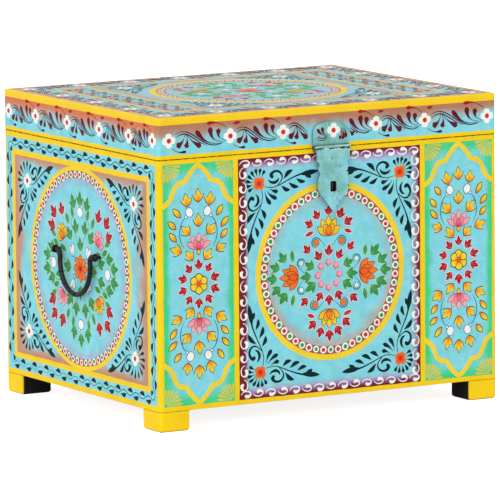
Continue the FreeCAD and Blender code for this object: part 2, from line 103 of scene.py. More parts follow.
class Flow:
    # a value on its way through shader nodes, so that sums on it read as arithmetic

    def __init__(self, tree, socket):
        self.tree = tree
        self.socket = socket

    def node(self, kind, inputs, output=0, **settings):
        made = self.tree.nodes.new("ShaderNode" + kind)
        for name, value in settings.items():
            setattr(made, name, value)
        for name, value in inputs.items():
            feed(made.inputs[name], value)
        return Flow(self.tree, made.outputs[output])

    __add__ = arithmetic("ADD")
    __sub__ = arithmetic("SUBTRACT")
    __mul__ = arithmetic("MULTIPLY")
    __truediv__ = arithmetic("DIVIDE")
    __pow__ = arithmetic("POWER")
    __abs__ = arithmetic("ABSOLUTE")
    __gt__ = arithmetic("GREATER_THAN")
    __lt__ = arithmetic("LESS_THAN")
    most = arithmetic("MAXIMUM")
    least = arithmetic("MINIMUM")

    def __rsub__(self, other):
        return self * -1.0 + other

    def between(self, under, over):
        # of two values, by this share
        return self.node("Mix", {0: self, 2: under, 3: over}, data_type="FLOAT")

    def mix(self, under, over):
        # of two colours, by this share
        return self.node("Mix", {0: self, 6: under, 7: over}, 2, data_type="RGBA")

    def shaded(self, by, share=1.0):
        # this colour, multiplied by another
        return self.node("Mix", {0: share, 6: self, 7: by}, 2, data_type="RGBA", blend_type="MULTIPLY")

    def fade(self, low, high, start=0.0, end=1.0):
        inputs = {"Value": self, "From Min": low, "From Max": high, "To Min": start, "To Max": end}
        return self.node("MapRange", inputs, interpolation_type="SMOOTHSTEP")

    def ramp(self, *stops):
        made = self.tree.nodes.new("ShaderNodeValToRGB")
        feed(made.inputs["Fac"], self)
        elements = made.color_ramp.elements
        elements.remove(elements[1])
        elements[0].position, elements[0].color = stops[0]
        for share, colour in stops[1:]:
            elements.new(share).color = colour
        return Flow(self.tree, made.outputs["Color"])

    def noise(self, scale, detail=3.0, rough=0.5, twist=0.0):
        inputs = {"Vector": self, "Scale": scale, "Detail": detail, "Roughness": rough, "Distortion": twist}
        return self.node("TexNoise", inputs, "Fac")

    def patches(self, scale, low, high, start=0.0, end=1.0):
        # soft blotches between two values
        return self.noise(scale, 4.0, 0.6).fade(low, high, start, end)

    def stretched(self, stretch):
        return self.node("VectorMath", {0: self, 1: stretch}, operation="MULTIPLY")

    def split(self):
        made = self.tree.nodes.new("ShaderNodeSeparateXYZ")
        feed(made.inputs[0], self)
        return [Flow(self.tree, socket) for socket in made.outputs]

    def through(self, group, **inputs):
        # an effect at this place, with its results by name
        made = self.tree.nodes.new("ShaderNodeGroup")
        made.node_tree = group
        for name, value in {"place": self, **inputs}.items():
            feed(made.inputs[name], value)
        return {socket.name: Flow(self.tree, socket) for socket in made.outputs}


def makeEffect(name, work, takes, gives):
    # a node group around a piece of work; sockets are values unless another kind is named
    group = bpy.data.node_groups.new(name, "ShaderNodeTree")
    for way, sockets in (("INPUT", takes), ("OUTPUT", gives)):
        for entry in sockets.split():
            socketName, _, kind = entry.partition(":")
            group.interface.new_socket(socketName, in_out=way, socket_type="NodeSocket" + (kind or "Float"))
    arrivals = group.nodes.new("NodeGroupInput").outputs
    results = work(*[Flow(group, socket) for socket, entry in zip(arrivals, takes.split())])
    for socket, value in zip(group.nodes.new("NodeGroupOutput").inputs, results):
        feed(socket, value)
    return group


# Effects that several finishes share, all in millimetres

brushLook = {
    "coats": 0.035,  # noise scales: uneven coats, bristle streaks, specks, chalky clouds and warm drifts
    "streaks": 0.5,
    "specks": 1.4,
    "clouds": 0.07,
    "drifts": 0.045,
    "warm": (1.0, 0.98, 0.80, 1.0),
    "warmth": 5.0,  # as against the chalk
}


def brushWork(place, colour, stretch, depth, chalk):
    # uneven coats and bristle streaks of paint put on by hand
    streak = place.stretched(stretch).noise(brushLook["streaks"], 4.0, 0.6)
    coats = place.noise(brushLook["coats"]) * 0.55 + streak * 0.45
    blueness = colour.node("SeparateColor", {"Color": colour}, "Blue")  # yellow and black show no white
    cloud = place.noise(brushLook["clouds"], 5.0, 0.65).fade(0.34, 0.68) * (chalk * blueness)
    drift = place.noise(brushLook["drifts"], 4.0, 0.6, 0.6).fade(0.46, 0.66) * (chalk * brushLook["warmth"])
    tone = coats.fade(0.34, 0.62, 1.0 - depth, 1.0)
    painted = cloud.mix(colour, pureWhite).shaded(brushLook["warm"], drift).shaded(tone)
    return painted, streak.fade(0.3, 0.7, 0.36, 0.56), place.noise(brushLook["specks"], 2.0) * 0.35 + streak


def panelRoom(place, across, up, halfAcross, halfUp, wobble):
    # whether a place is inside a painted panel, and how far from its hand-drawn edge
    room = (halfAcross - abs(across)).least(halfUp - abs(up))
    room = (place.noise(0.055, 2.0) - 0.5) * wobble + room
    return room > 0.0, room


def washRun(place, distance, reach, strength):
    # thin colour that is strong at an edge and runs out unevenly
    patch = place.patches(0.03, 0.3, 0.7, 0.55, 1.25)
    return [(distance / (reach * patch)).fade(0.15, 1.0, 1.0, 0.0) * strength]


woodTones = ((0.30, seen(112, 72, 42)), (0.46, seen(160, 112, 70)), (0.58, seen(188, 142, 96)),
             (0.72, seen(206, 165, 118)))


def woodGrain(place, stretch):
    # planed softwood, with the grain along the axis that is stretched
    along = place.stretched(stretch)
    fibre = along.noise(0.9, 4.0, 0.65)
    grain = fibre * 0.35 + along.noise(0.11, 5.0, 0.55, 0.8) * 0.65
    return grain.ramp(*woodTones), fibre.fade(0.3, 0.7, 0.62, 0.85), grain


def skinMask(place, skin):
    # the outside faces of the boards, as against the inside and the meeting edges
    x, y = place.split()[:2]
    past = (abs(x) - halfWidth).most(abs(y) - halfDepth) + skin
    return [(place.noise(0.12) - 0.5) * 0.5 + past > 0.0]


def chipMask(place, amount, size):
    # small worn spots, more of them where the amount is higher
    return [(place.noise(size, 6.0, 0.7) - (0.78 - amount * 0.4)).fade(0.0, 0.03)]


surfaceSockets = "colour:Color roughness height"
handBrushwork = makeEffect("handBrushwork", brushWork,
                           "place:Vector colour:Color stretch:Vector depth chalk", surfaceSockets)
panelEdge = makeEffect("panelEdge", panelRoom,
                       "place:Vector across up halfAcross halfUp wobble", "inside distance")
edgeWash = makeEffect("edgeWash", washRun, "place:Vector distance reach strength", "share")
bareWood = makeEffect("bareWood", woodGrain, "place:Vector stretch:Vector", surfaceSockets)
outerSkin = makeEffect("outerSkin", skinMask, "place:Vector skin", "mask")
chippedPaint = makeEffect("chippedPaint", chipMask, "place:Vector amount size", "mask")
print("scene: shared effects made")


# Finishes

def startFinish(name, shine=0.3):
    # a material, the sockets of its shader, and the place on the piece in millimetres
    material = bpy.data.materials.new(name)
    material.use_nodes = True
    tree = material.node_tree
    tree.nodes.clear()
    shader = tree.nodes.new("ShaderNodeBsdfPrincipled")
    shader.inputs["Specular IOR Level"].default_value = shine
    output = tree.nodes.new("ShaderNodeOutputMaterial")
    tree.links.new(shader.outputs[0], output.inputs[0])
    coordinates = tree.nodes.new("ShaderNodeTexCoord").outputs
    place = Flow(tree, coordinates["Object"]).stretched([1 / mm] * 3)
    return material, shader.inputs, place


def setSurface(sockets, colour, roughness, height, strength, depth=0.3):
    # depth is how far the bump rises, in millimetres
    feed(sockets["Base Color"], colour)
    feed(sockets["Roughness"], roughness)
    inputs = {"Height": height, "Strength": strength, "Distance": depth * mm}
    feed(sockets["Normal"], height.node("Bump", inputs, "Normal"))


def stretchAlong(axis, share):
    # a noise is drawn out along the axis whose scale is the share
    return [share if k == axis else 1.0 for k in range(3)]


def brushed(place, colour, axis, look):
    return place.through(handBrushwork, colour=colour, stretch=stretchAlong(axis, look["streak"]),
                         depth=look["depth"], chalk=look["chalk"])


def chipped(place, amount, size):
    return place.through(chippedPaint, amount=amount, size=size)["mask"]


def layered(share, under, over):
    # colour, roughness and height of two surfaces, by a share
    colour = share.mix(under["colour"], over["colour"])
    return (colour, *[share.between(under[part], over[part]) for part in ("roughness", "height")])


def panelShare(place, across, up, halfAcross, halfUp, wobble=1.6):
    return place.through(panelEdge, across=across, up=up, halfAcross=halfAcross, halfUp=halfUp, wobble=wobble)


def washShare(place, distance, reach, strength):
    return place.through(edgeWash, distance=distance, reach=reach, strength=strength)["share"]


def medallionWash(place, across, up, layout, strength):
    # the field inside the string of beads, and the colour that runs in from them
    tall = (up - layout["ringRise"]) / layout["ringTall"]
    radius = (across ** 2.0 + tall ** 2.0) ** 0.5
    inner = layout["beadRing"] - layout["washInset"]
    return radius < inner + layout["washPast"], washShare(place, inner - radius, layout["ringWash"], strength)


boardFinish = {
    "shine": 0.2,
    "topShine": 0.3,
    "skin": 2.0,  # how far in from the outside the paint runs, mm
    "depth": 0.09,  # how much darker the thin coats are
    "chalk": 0.14,  # how much paler the dry coats are
    "bump": 0.12,
    "woodBump": 0.2,
    "wear": 0.10,
    "seam": 1.1,  # how far dirt and painted shade reach from the gap under the lid and from that over the feet, mm
    "streak": 0.25,  # how much the brush and the grain stretch along a board
    "grain": 0.04,
}


def paintedBoard(name, ground, axis, shine=boardFinish["shine"]):
    # paint on the outside, bare wood on the inside and the meeting edges; the board runs along the axis
    material, sockets, place = startFinish(name, shine)
    x, y, z = place.split()
    outer = place.through(outerSkin, skin=boardFinish["skin"])["mask"]
    outer = outer.most(z > lidTop - boardFinish["skin"])
    outer = outer - chipped(place, boardFinish["wear"], 0.5) * 0.6
    coat = brushed(place, ground(place, x, y, z), axis, boardFinish)
    wood = place.through(bareWood, stretch=stretchAlong(axis, boardFinish["grain"]))
    # dirt and painted shade: darker along the gap under the lid and along the lower edge of the board
    fromSeam = abs(z - seam).least(abs(z - bodyLow) + 0.5)
    uneven = place.patches(0.16, 0.35, 0.65, 0.3, 1.0)
    dirtAndShade = fromSeam.fade(0.4, boardFinish["seam"], 1.0, 0.0) * uneven * outer
    colour, roughness, height = layered(outer, wood, coat)
    setSurface(sockets, dirtAndShade.mix(colour, tin["grimeAndShade"]), roughness, height, boardFinish["bump"])
    return material


frontLayout = {
    "edgeStripe": 6.5,  # yellow at the ends of the face
    "sidePanel": 102.0,
    "stripe": 7.0,  # yellow between the panels
    "capStripe": 6.0,  # yellow above and below the panels
    "archSlope": 0.86,  # of the line past which a narrow panel's corner turns emerald
    "ringOuter": 110.0,
    "ringTall": 1.04,  # the hand-drawn ring is taller than wide
    "ringRise": 1.2,  # its middle, above that of the panel
    "ringWidth": 7.6,
    "beads": 56,
    "bead": 4.9,
    "beadRing": 97.4,
    "washInset": 4.0,  # the wash starts this far inside the beads
    "washPast": 6.0,  # and its field ends this far outside that, under them
    "ringWash": 17.0,  # how far in it runs
    "ringWashShares": (0.55, 0.25),  # strength at the foot and at the top
    "sideWash": 11.0,  # emerald along the edges of a narrow panel
    "sideWashInset": 2.0,
    "cornerFade": (3.0, 18.0),  # way in from the edge over which its corners turn paler
    "rowFade": 17.0,  # from maroon to turquoise below the rows of curls
    "columns": (10.4, 5.0),  # maroon under the left and the right column of curls
    "columnFades": (5.0, 12.0),  # and how far it takes to turn turquoise
}
panelHalfUp = bodyHalf - frontLayout["capStripe"]
sidePanelHalf = frontLayout["sidePanel"] / 2
sidePanelMiddle = halfWidth - frontLayout["edgeStripe"] - sidePanelHalf
centreHalf = sidePanelMiddle - sidePanelHalf - frontLayout["stripe"]


def frontGround(place, x, y, z):
    up = z - bodyMiddle
    fromPanel = abs(x) - sidePanelMiddle

    # narrow panels: turquoise, emerald towards the edges and in the corners
    side = panelShare(place, fromPanel, up, sidePanelHalf, panelHalfUp)
    overArch = panelHalfUp - abs(up) - abs(fromPanel) * frontLayout["archSlope"]
    corner = side["distance"].fade(*frontLayout["cornerFade"], 0.95, 0.3) * overArch.fade(-1.5, 1.5, 1.0, 0.0)
    edge = washShare(place, side["distance"] - frontLayout["sideWashInset"], frontLayout["sideWash"], 0.95)
    wash = edge.most(corner)
    colour = side["inside"].mix(tin["yellow"], wash.mix(tin["turquoise"], tin["emerald"]))

    # wide panel: maroon margin that runs through purple into turquoise
    centre = panelShare(place, x, up, centreHalf, panelHalfUp)
    uneven = place.patches(0.05, 0.3, 0.7, -1.6, 1.6)
    fromRow = uneven + panelHalfUp - abs(up)
    fromColumn = uneven + centreHalf - abs(x)
    ground = (fromRow / frontLayout["rowFade"]).ramp(
        (0.0, tin["maroon"]), (0.16, tin["maroon"]), (0.40, tin["purple"]), (0.66, tin["lavender"]),
        (0.96, tin["turquoise"]))
    onRight = x > 0.0
    column = onRight.between(*frontLayout["columns"])
    faded = column + onRight.between(*frontLayout["columnFades"])
    ground = fromColumn.fade(column, faded, 0.8, 0.0).mix(ground, tin["purple"])
    ground = (fromColumn - column).fade(-1.5, 1.5, 1.0, 0.0).mix(ground, tin["maroon"])
    strength = up.fade(-60.0, 60.0, *frontLayout["ringWashShares"])
    inside, ringWash = medallionWash(place, x, up, frontLayout, strength)
    colour = centre["inside"].mix(colour, (ringWash * inside).mix(ground, tin["brown"]))
    return (y < boardFinish["skin"] - halfDepth).mix(tin["yellow"], colour)


sideLayout = {
    "edgeStripe": 7.0,  # yellow round the face
    "border": 15.6,  # turquoise with the vine
    "frameLine": 6.8,  # yellow inside the vine
    "endShare": 0.45,  # the brown wash is this much narrower above and below than at the ends
    "sideWash": 17.0,  # how far in it runs on the sides, and on the back
    "backWash": 30.0,
    "ringOuter": 131.2,
    "ringTall": 1.0,
    "ringRise": 0.0,
    "ringWidth": 6.2,
    "beads": 68,
    "bead": 4.6,
    "beadRing": 120.4,
    "washInset": 5.0,
    "washPast": 8.0,
    "ringWash": 15.0,
    "ringWashShare": 0.6,
}


def framedGround(place, across, up, half, washReach):
    # yellow edge, turquoise border, yellow frame and a field that is washed brown at its edges
    colour = tin["yellow"]
    inset = 0.0
    for key, paint in (("edgeStripe", "turquoise"), ("border", "yellow")):
        inset += sideLayout[key]
        panel = panelShare(place, across, up, half - inset, bodyHalf - inset)
        colour = panel["inside"].mix(colour, tin[paint])
    inset += sideLayout["frameLine"]
    field = panelShare(place, across, up, half - inset, bodyHalf - inset)
    slow = sideLayout["endShare"]
    ends = panelShare(place, across * slow, up, (half - inset) * slow, bodyHalf - inset)
    wash = washShare(place, ends["distance"], washReach, 0.95)
    return colour, wash.mix(tin["turquoise"], tin["brown"]), field["inside"]


def sideGround(place, x, y, z):
    up = z - bodyMiddle
    colour, ground, field = framedGround(place, y, up, halfDepth, sideLayout["sideWash"])
    inside, ringWash = medallionWash(place, y, up, sideLayout, sideLayout["ringWashShare"])
    ground = inside.mix(ground, ringWash.mix(tin["turquoise"], tin["lavender"]))
    return field.mix(colour, ground)


def backGround(place, x, y, z):
    colour, ground, field = framedGround(place, x, z - bodyMiddle, halfWidth, sideLayout["backWash"])
    return field.mix(colour, ground)


skirtLayout = {
    "line": 5.2,  # yellow along the lower edge of the lid
    "wash": 26.0,  # how far the brown or rust wash runs down
    "flower": 19.2,
}


def skirtGround(washColour):
    def ground(place, x, y, z):
        height = z + place.noise(0.055, 2.0).fade(0.3, 0.7, -0.6, 0.6)
        wash = washShare(place, railTop - height, skirtLayout["wash"], 0.95)
        onLine = height < lidLow + skirtLayout["line"]
        return onLine.mix(wash.mix(tin["turquoise"], washColour), tin["yellow"])

    return ground


topLayout = {
    "rim": 4.5,  # yellow at the edge
    "border": 48.0,  # from the edge to the outer yellow line
    "line": 5.0,
    "rowShift": 1.0,  # the border's flowers, inwards from its middle
    "rowClear": 4.0,  # room beside their scrolls
    "crossBand": 40.0,
    "ringOuter": 128.0,
    "ringTall": 1.0,
    "ringRise": 0.0,
    "ringWidth": 9.0,
    "beads": 60,
    "bead": 4.8,
    "beadRing": 113.0,
    "lane": 9.0,  # from the middle of a cross band to its vines
    "laneEnd": 8.0,  # room at their ends
    "bandFlowers": 7,
    "bandFlower": 14.0,
    "bandFlowerEnd": 18.0,
}
bandOuter = halfWidth - topLayout["border"] - topLayout["line"]
bandInner = bandOuter - topLayout["crossBand"]
topFieldAcross = bandInner - topLayout["line"]
topFieldUp = halfDepth - topLayout["border"] - topLayout["line"]


def topGround(place, x, y, z):
    rim, border = topLayout["rim"], topLayout["border"]
    panels = (  # half sizes, and the wash with its reach and strength; ochre where there is none
        (halfWidth - rim, halfDepth - rim, "brown", 30.0, 0.85),
        (halfWidth - border, halfDepth - border, None, 0, 0),
        (bandOuter, topFieldUp, "rust", 16.0, 0.8),
        (bandInner, topFieldUp, None, 0, 0),
        (topFieldAcross, topFieldUp, "brown", 26.0, 0.75),
    )
    colour = tin["yellow"]
    for halfAcross, halfUp, wash, reach, strength in panels:
        panel = panelShare(place, x, y, halfAcross, halfUp)
        ground = tin["ochre"]
        if wash:
            share = washShare(place, panel["distance"], reach, strength)
            ground = share.mix(tin["dullTurquoise"], tin[wash])
        colour = panel["inside"].mix(colour, ground)
    return colour


footFinish = {
    "wear": 0.35,  # at the floor
    "skin": 2.0,
    "depth": 0.09,
    "chalk": 0.03,
    "bump": 0.15,
    "streak": 0.4,
    "grain": 0.06,
}


def paintedFoot():
    # yellow outside, black on the faces turned under the box
    material, sockets, place = startFinish("paintedFoot", boardFinish["shine"])
    z = place.split()[2]
    outer = place.through(outerSkin, skin=footFinish["skin"])["mask"]
    coat = brushed(place, outer.mix(tin["black"], tin["yellow"]), 2, footFinish)
    # dirt and painted shade: a dark line at the joint just under the body, and darker towards the floor
    dirtAndShade = z.fade(bodyLow - 0.9, bodyLow - 0.2, 0.0, 0.8).most(z.fade(0.3, 2.0, 0.5, 0.0))
    chips = chipped(place, z.fade(0.0, 5.0, footFinish["wear"], 0.1), 0.35)  # more of them near the floor
    wood = place.through(bareWood, stretch=stretchAlong(2, footFinish["grain"]))
    colour, roughness, height = layered(chips, coat, wood)
    setSurface(sockets, dirtAndShade.mix(colour, tin["grimeAndShade"]), roughness, height, footFinish["bump"])
    return material


def plainWood():
    material, sockets, place = startFinish("plainWood")
    wood = place.through(bareWood, stretch=stretchAlong(0, boardFinish["grain"]))
    setSurface(sockets, *wood.values(), boardFinish["woodBump"])
    return material


metals = {  # light and dark colour, least and most roughness, how metallic, scale of the patches
    "dullSteel": (seen(165, 163, 158), seen(105, 98, 90), 0.3, 0.5, 1.0, 0.4),
    "hingeSteel": (seen(150, 146, 138), seen(84, 74, 64), 0.35, 0.6, 1.0, 0.25),
    "blackIron": (seen(58, 55, 52), seen(22, 20, 19), 0.38, 0.6, 0.6, 0.2),
    "rustyWire": (seen(104, 62, 48), seen(46, 26, 22), 0.55, 0.8, 0.35, 0.6),
}
metalPits = 1.8  # scale of the fine pitting


def metalFinish(name):
    # metal with dull patches and fine pitting
    light, dark, roughLow, roughHigh, metallic, grain = metals[name]
    material, sockets, place = startFinish(name)
    patch = place.noise(grain, 5.0, 0.65)
    pit = place.noise(metalPits, 3.0, 0.6)
    colour = (pit * 0.3 + patch * 0.7).fade(0.35, 0.65).mix(dark, light)
    setSurface(sockets, colour, patch.fade(0.3, 0.7, roughHigh, roughLow), patch + pit, 0.2)
    sockets["Metallic"].default_value = metallic
    return material


haspFinish = {
    "coat": seen(134, 212, 220),
    "patch": seen(128, 200, 188),
    # dark iron, for bare spots and for the painted shade in the knuckle gap
    "under": seen(44, 36, 32),
    # pale flakes, partly a painted highlight on the knuckles
    "paleFlakeAndHighlight": seen(206, 232, 240),
    "wear": 0.42,
    "knuckles": 4.5,  # half height of the chipped stretch at the knuckles, whose pale flakes are partly a painted highlight, mm
    "knuckleShade": 1.3,  # half height of the painted shade line in the gap between plate and strap, mm
    "streak": 0.3,
    "depth": 0.3,
    "chalk": 0.12,
    "rough": 0.6,  # of the bare iron
    "bump": 0.25,
}


def paintedHasp():
    # turquoise sheet iron with greenish patches, chipped at its edges and along its knuckles, where the pale
    # flakes are partly a painted highlight and a painted shade line runs in the gap between plate and strap
    material, sockets, place = startFinish("paintedHasp")
    facing = abs(place.node("TexCoord", {}, "Normal").split()[1])
    edge = facing.fade(0.45, 0.75, 1.0, 0.0)
    chips = chipped(place, haspFinish["wear"], 0.16)
    wander = place.patches(0.12, 0.3, 0.7, -1.6, 1.6)
    fromPin = abs(place.split()[2] - seam + wander)
    broken = place.noise(0.09, 3.0, 0.6).fade(0.42, 0.5)
    # painted shade: a broken dark line in the gap between the knuckles of plate and strap
    knuckleShade = fromPin.fade(haspFinish["knuckleShade"] * 0.5, haspFinish["knuckleShade"] * 1.5, 1.0, 0.0) * broken
    near = fromPin.fade(haspFinish["knuckles"] * 0.4, haspFinish["knuckles"], 0.75, 0.0)
    # pale flakes near the knuckles, partly a painted highlight
    flakesAndHighlight = chipped(place, near, 0.3)
    # dark bare iron at chips and edge faces, and painted shade in the knuckle gap
    bareAndShaded = chips.most(knuckleShade).most(edge * 0.85)
    patch = place.patches(0.06, 0.42, 0.62)
    ground = flakesAndHighlight.mix(patch.mix(haspFinish["coat"], haspFinish["patch"]), haspFinish["paleFlakeAndHighlight"])
    coat = brushed(place, ground, 2, haspFinish)
    colour = bareAndShaded.mix(coat["colour"], haspFinish["under"])
    roughness = bareAndShaded.between(coat["roughness"], haspFinish["rough"])
    setSurface(sockets, colour, roughness, coat["height"] - bareAndShaded, haspFinish["bump"])
    return material


strokeFinish = {"shine": 0.12, "streak": [0.8] * 3, "depth": 0.12, "bump": 0.12, "bumpDepth": 0.2}


def raisedPaint():
    # brush strokes and flowers, each point with its own mixed colour
    material, sockets, place = startFinish("raisedPaint", strokeFinish["shine"])
    laid = place.node("VertexColor", {}, "Color", layer_name="paint")
    coat = place.through(handBrushwork, colour=laid, stretch=strokeFinish["streak"],
                         depth=strokeFinish["depth"], chalk=0.0)
    setSurface(sockets, *coat.values(), strokeFinish["bump"], strokeFinish["bumpDepth"])
    return material


def dress(material, *names):
    for name in names:
        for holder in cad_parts[name].material_slots:
            holder.material = material


def dressBox():
    dress(paintedBoard("paintedFront", frontGround, 0), "front_board", "body_corner_brads")
    dress(paintedBoard("paintedBack", backGround, 0), "back_board")
    dress(paintedBoard("paintedSide", sideGround, 1), "left_board", "right_board")
    longSkirt = paintedBoard("paintedLongSkirt", skirtGround(tin["lidBrown"]), 0)
    dress(longSkirt, "lid_front_rail", "lid_back_rail", "lid_corner_brads")
    shortSkirt = paintedBoard("paintedShortSkirt", skirtGround(tin["rust"]), 1)
    dress(shortSkirt, "lid_left_rail", "lid_right_rail")
    top = paintedBoard("paintedTop", topGround, 0, boardFinish["topShine"])
    dress(top, "lid_top_board", "lid_top_brads")
    dress(paintedFoot(), *[end + side + "_foot" for end in ("front_", "back_") for side in ("left", "right")])
    dress(plainWood(), "bottom_board")
    screws = ("foot_screws", "hinge_body_screws", "hinge_lid_screws")
    dress(metalFinish("dullSteel"), "bottom_brads", *screws, "hasp_pin", "hasp_nails")
    hinge = metalFinish("hingeSteel")
    iron = metalFinish("blackIron")
    for side in ("left_", "right_"):
        dress(hinge, side + "hinge_body_leaf", side + "hinge_lid_leaf", side + "hinge_pin")
        dress(iron, side + "handle", side + "handle_eyes")
    dress(metalFinish("rustyWire"), "hasp_staple")
    dress(paintedHasp(), "hasp_plate", "hasp_strap")
    print("scene: boards, feet and ironwork finished")


dressBox()


# Raised painting: thin domes and ribbons of paint on each face, in millimetres

paintRelief = {
    "first": 0.08,  # height of the lowest layer
    "step": 0.06,  # each further layer
    "crown": 0.02,  # how much the middle of a dab stands up
    "slope": 0.25,  # width of the rounded rim
    "sunk": -0.03,  # how far the rim goes into the board
    "blend": 1.6,  # how soon the colour at a foot gives way
}


def mixed(first, second, share):
    return tuple(a + (b - a) * share for a, b in zip(first, second))


class PaintedFace:
    # strokes gathered on one flat face; a place on it is a complex number, across and up

    def __init__(self, name, body, origin, across, up, seed):
        self.name = name
        self.body = body
        self.origin = Vector(origin)
        self.across = Vector(across)
        self.up = Vector(up)
        self.out = self.across.cross(self.up)
        self.points = []
        self.faces = []
        self.colours = []
        self.chance = random.Random(seed)

    def point(self, place, lift, colour):
        flat = self.origin + self.across * place.real + self.up * place.imag
        self.points.append((flat + self.out * lift) * mm)
        self.colours.append(colour)
        return len(self.points) - 1

    def height(self, layer):
        return paintRelief["first"] + paintRelief["step"] * layer

    def dab(self, outline, colour, layer=0, base=None, core=None):
        # a closed low dome over an outline that its middle can see all of;
        # base is a second colour at the outline's first point, and core one in the middle
        count = len(outline)
        foot = outline[0]
        reach = max(abs(place - foot) for place in outline)
        if sum((a.conjugate() * b).imag for a, b in zip(outline, outline[1:] + outline[:1])) < 0:
            outline = outline[::-1]
        middle = sum(outline) / count
        top = self.height(layer)

        def tint(place):
            share = paintRelief["blend"] * abs(place - foot) / reach
            return mixed(base, colour, min(1.0, share)) if base else colour

        rim = [self.point(place, paintRelief["sunk"], tint(place)) for place in outline]
        shoulder = []
        for place in outline:
            pull = min(0.3, paintRelief["slope"] / max(abs(place - middle), 0.01))
            shoulder.append(self.point(place + (middle - place) * pull, top, tint(place)))
        crown = self.point(middle, top + paintRelief["crown"], core or tint(middle))
        for i in range(count):
            j = (i + 1) % count
            self.faces.append((rim[i], rim[j], shoulder[j], shoulder[i]))
            self.faces.append((shoulder[i], shoulder[j], crown))
        self.faces.append(tuple(rim[::-1]))

    def disc(self, place, radius, count, colour, layer, core=None):
        self.dab(turned(roundOutline(radius, count), place), colour, layer, None, core)

    def stroke(self, path, widths, colour, layer=0, closed=False):
        # a closed ribbon along a path, with its own width at each point; colour may be a list, one for each
        count = len(path)
        shades = colour if isinstance(colour, list) else [colour] * count
        top = self.height(layer)
        sunk = paintRelief["sunk"]
        sections = []
        for i, place in enumerate(path):
            before = path[i - 1] if closed or i > 0 else place
            after = path[(i + 1) % count] if closed or i < count - 1 else place
            left = 1j * (after - before) / abs(after - before)
            half = widths[i] / 2
            flat = max(half - paintRelief["slope"], half * 0.4)
            profile = ((half, sunk), (flat, top), (-flat, top), (-half, sunk))
            sections.append([self.point(place + left * aside, lift, shades[i]) for aside, lift in profile])
        pairs = list(zip(sections, sections[1:]))
        if closed:
            pairs.append((sections[-1], sections[0]))
        for near, far in pairs:
            for k in range(3):
                self.faces.append((near[k], near[k + 1], far[k + 1], far[k]))
            self.faces.append((near[0], far[0], far[3], near[3]))
        if not closed:
            self.closeEnd(path[1], path[0], widths[0], sections[0], shades[0])
            self.closeEnd(path[-2], path[-1], widths[-1], sections[-1][::-1], shades[-1])

    def closeEnd(self, before, end, width, section, colour):
        way = (end - before) / abs(end - before)
        tip = self.point(end + way * max(0.2, 0.4 * width), paintRelief["sunk"], colour)
        for k in range(3):
            self.faces.append((tip, section[k + 1], section[k]))
        self.faces.append((tip, section[0], section[3]))

    def build(self, material, slotName):
        mesh = bpy.data.meshes.new(self.name)
        mesh.from_pydata(self.points, [], self.faces)
        layer = mesh.color_attributes.new("paint", "FLOAT_COLOR", "POINT")
        layer.data.foreach_set("color", [level for colour in self.colours for level in colour])
        mesh.materials.append(material)
        piece = bpy.data.objects.new(self.name, mesh)
        bpy.context.scene.collection.objects.link(piece)
        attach(piece, self.body)
        print("scene:", self.name, len(self.faces), "faces")


# Outlines in their own small frame, pointing up

def spots(pairs):
    return [complex(*pair) for pair in pairs]


def turned(points, place, turn=0.0, size=1.0):
    return [place + point * cmath.rect(size, math.radians(turn)) for point in points]


def heading(across, up):
    # the turn that points something which points up along this way
    return math.degrees(math.atan2(up, across)) - 90


def symmetric(foot, right, tip):
    return [foot] + right + [tip] + [-point.conjugate() for point in reversed(right)]


def leafOutline(length, width, belly=1.0, count=7):
    right = []
    for share in [i / count for i in range(1, count)]:
        right.append(complex(width / 2 * math.sin(math.pi * share ** belly) ** 0.8, length * (share - 0.5)))
    return symmetric(-0.5j * length, right, 0.5j * length)


def lobedOutline(cut=0.12):
    # a leaf with three pointed lobes, about one unit tall, with its corners cut as a brush rounds them
    right = spots(((0.11, -0.42), (0.28, -0.30), (0.40, -0.12), (0.50, 0.13), (0.22, 0.06), (0.21, 0.25)))
    sharp = symmetric(-0.5j, right, 0.60j)
    return [a + (b - a) * share for a, b in zip(sharp, sharp[1:] + sharp[:1]) for share in (cut, 1 - cut)]


def roundOutline(radius, count=14, lobes=0, depth=0.0):
    angles = [math.tau * i / count for i in range(count)]
    return [cmath.rect(radius * (1 - depth + depth * math.cos(lobes * angle)), angle) for angle in angles]


def curve(points, steps=6):
    # a smooth line through given points
    ends = [points[0]] + points + [points[-1]]
    made = []
    for a, b, c, d in zip(ends, ends[1:], ends[2:], ends[3:]):
        for t in [k / steps for k in range(steps)]:
            made.append(0.5 * (2 * b + (c - a) * t + (2 * a - 5 * b + 4 * c - d) * t ** 2
                               + (3 * b - a - 3 * c + d) * t ** 3))
    return made + [points[-1]]


def tapered(count, width, light=0.35):
    # brush pressure: light, full, light
    shares = [i / (count - 1) for i in range(count)]
    return [width * min(1.0, light + (1 - light) * 4 * min(share, 1 - share)) for share in shares]


# Motifs of this box

leafLayer = 1
flowerLayer = 2  # flowers lie over leaves


def line(face, points, width, colour, layer=0):
    path = curve(points)
    face.stroke(path, tapered(len(path), width), colour, layer)


def swelling(face, points, widths, colour):
    # a curved line whose width is given at each listed point
    path = curve(points)
    pressed = []
    for k in range(len(path)):
        place = k / (len(path) - 1) * (len(widths) - 1)
        whole = min(int(place), len(widths) - 2)
        pressed.append(widths[whole] + (widths[whole + 1] - widths[whole]) * (place - whole))
    face.stroke(path, pressed, colour)


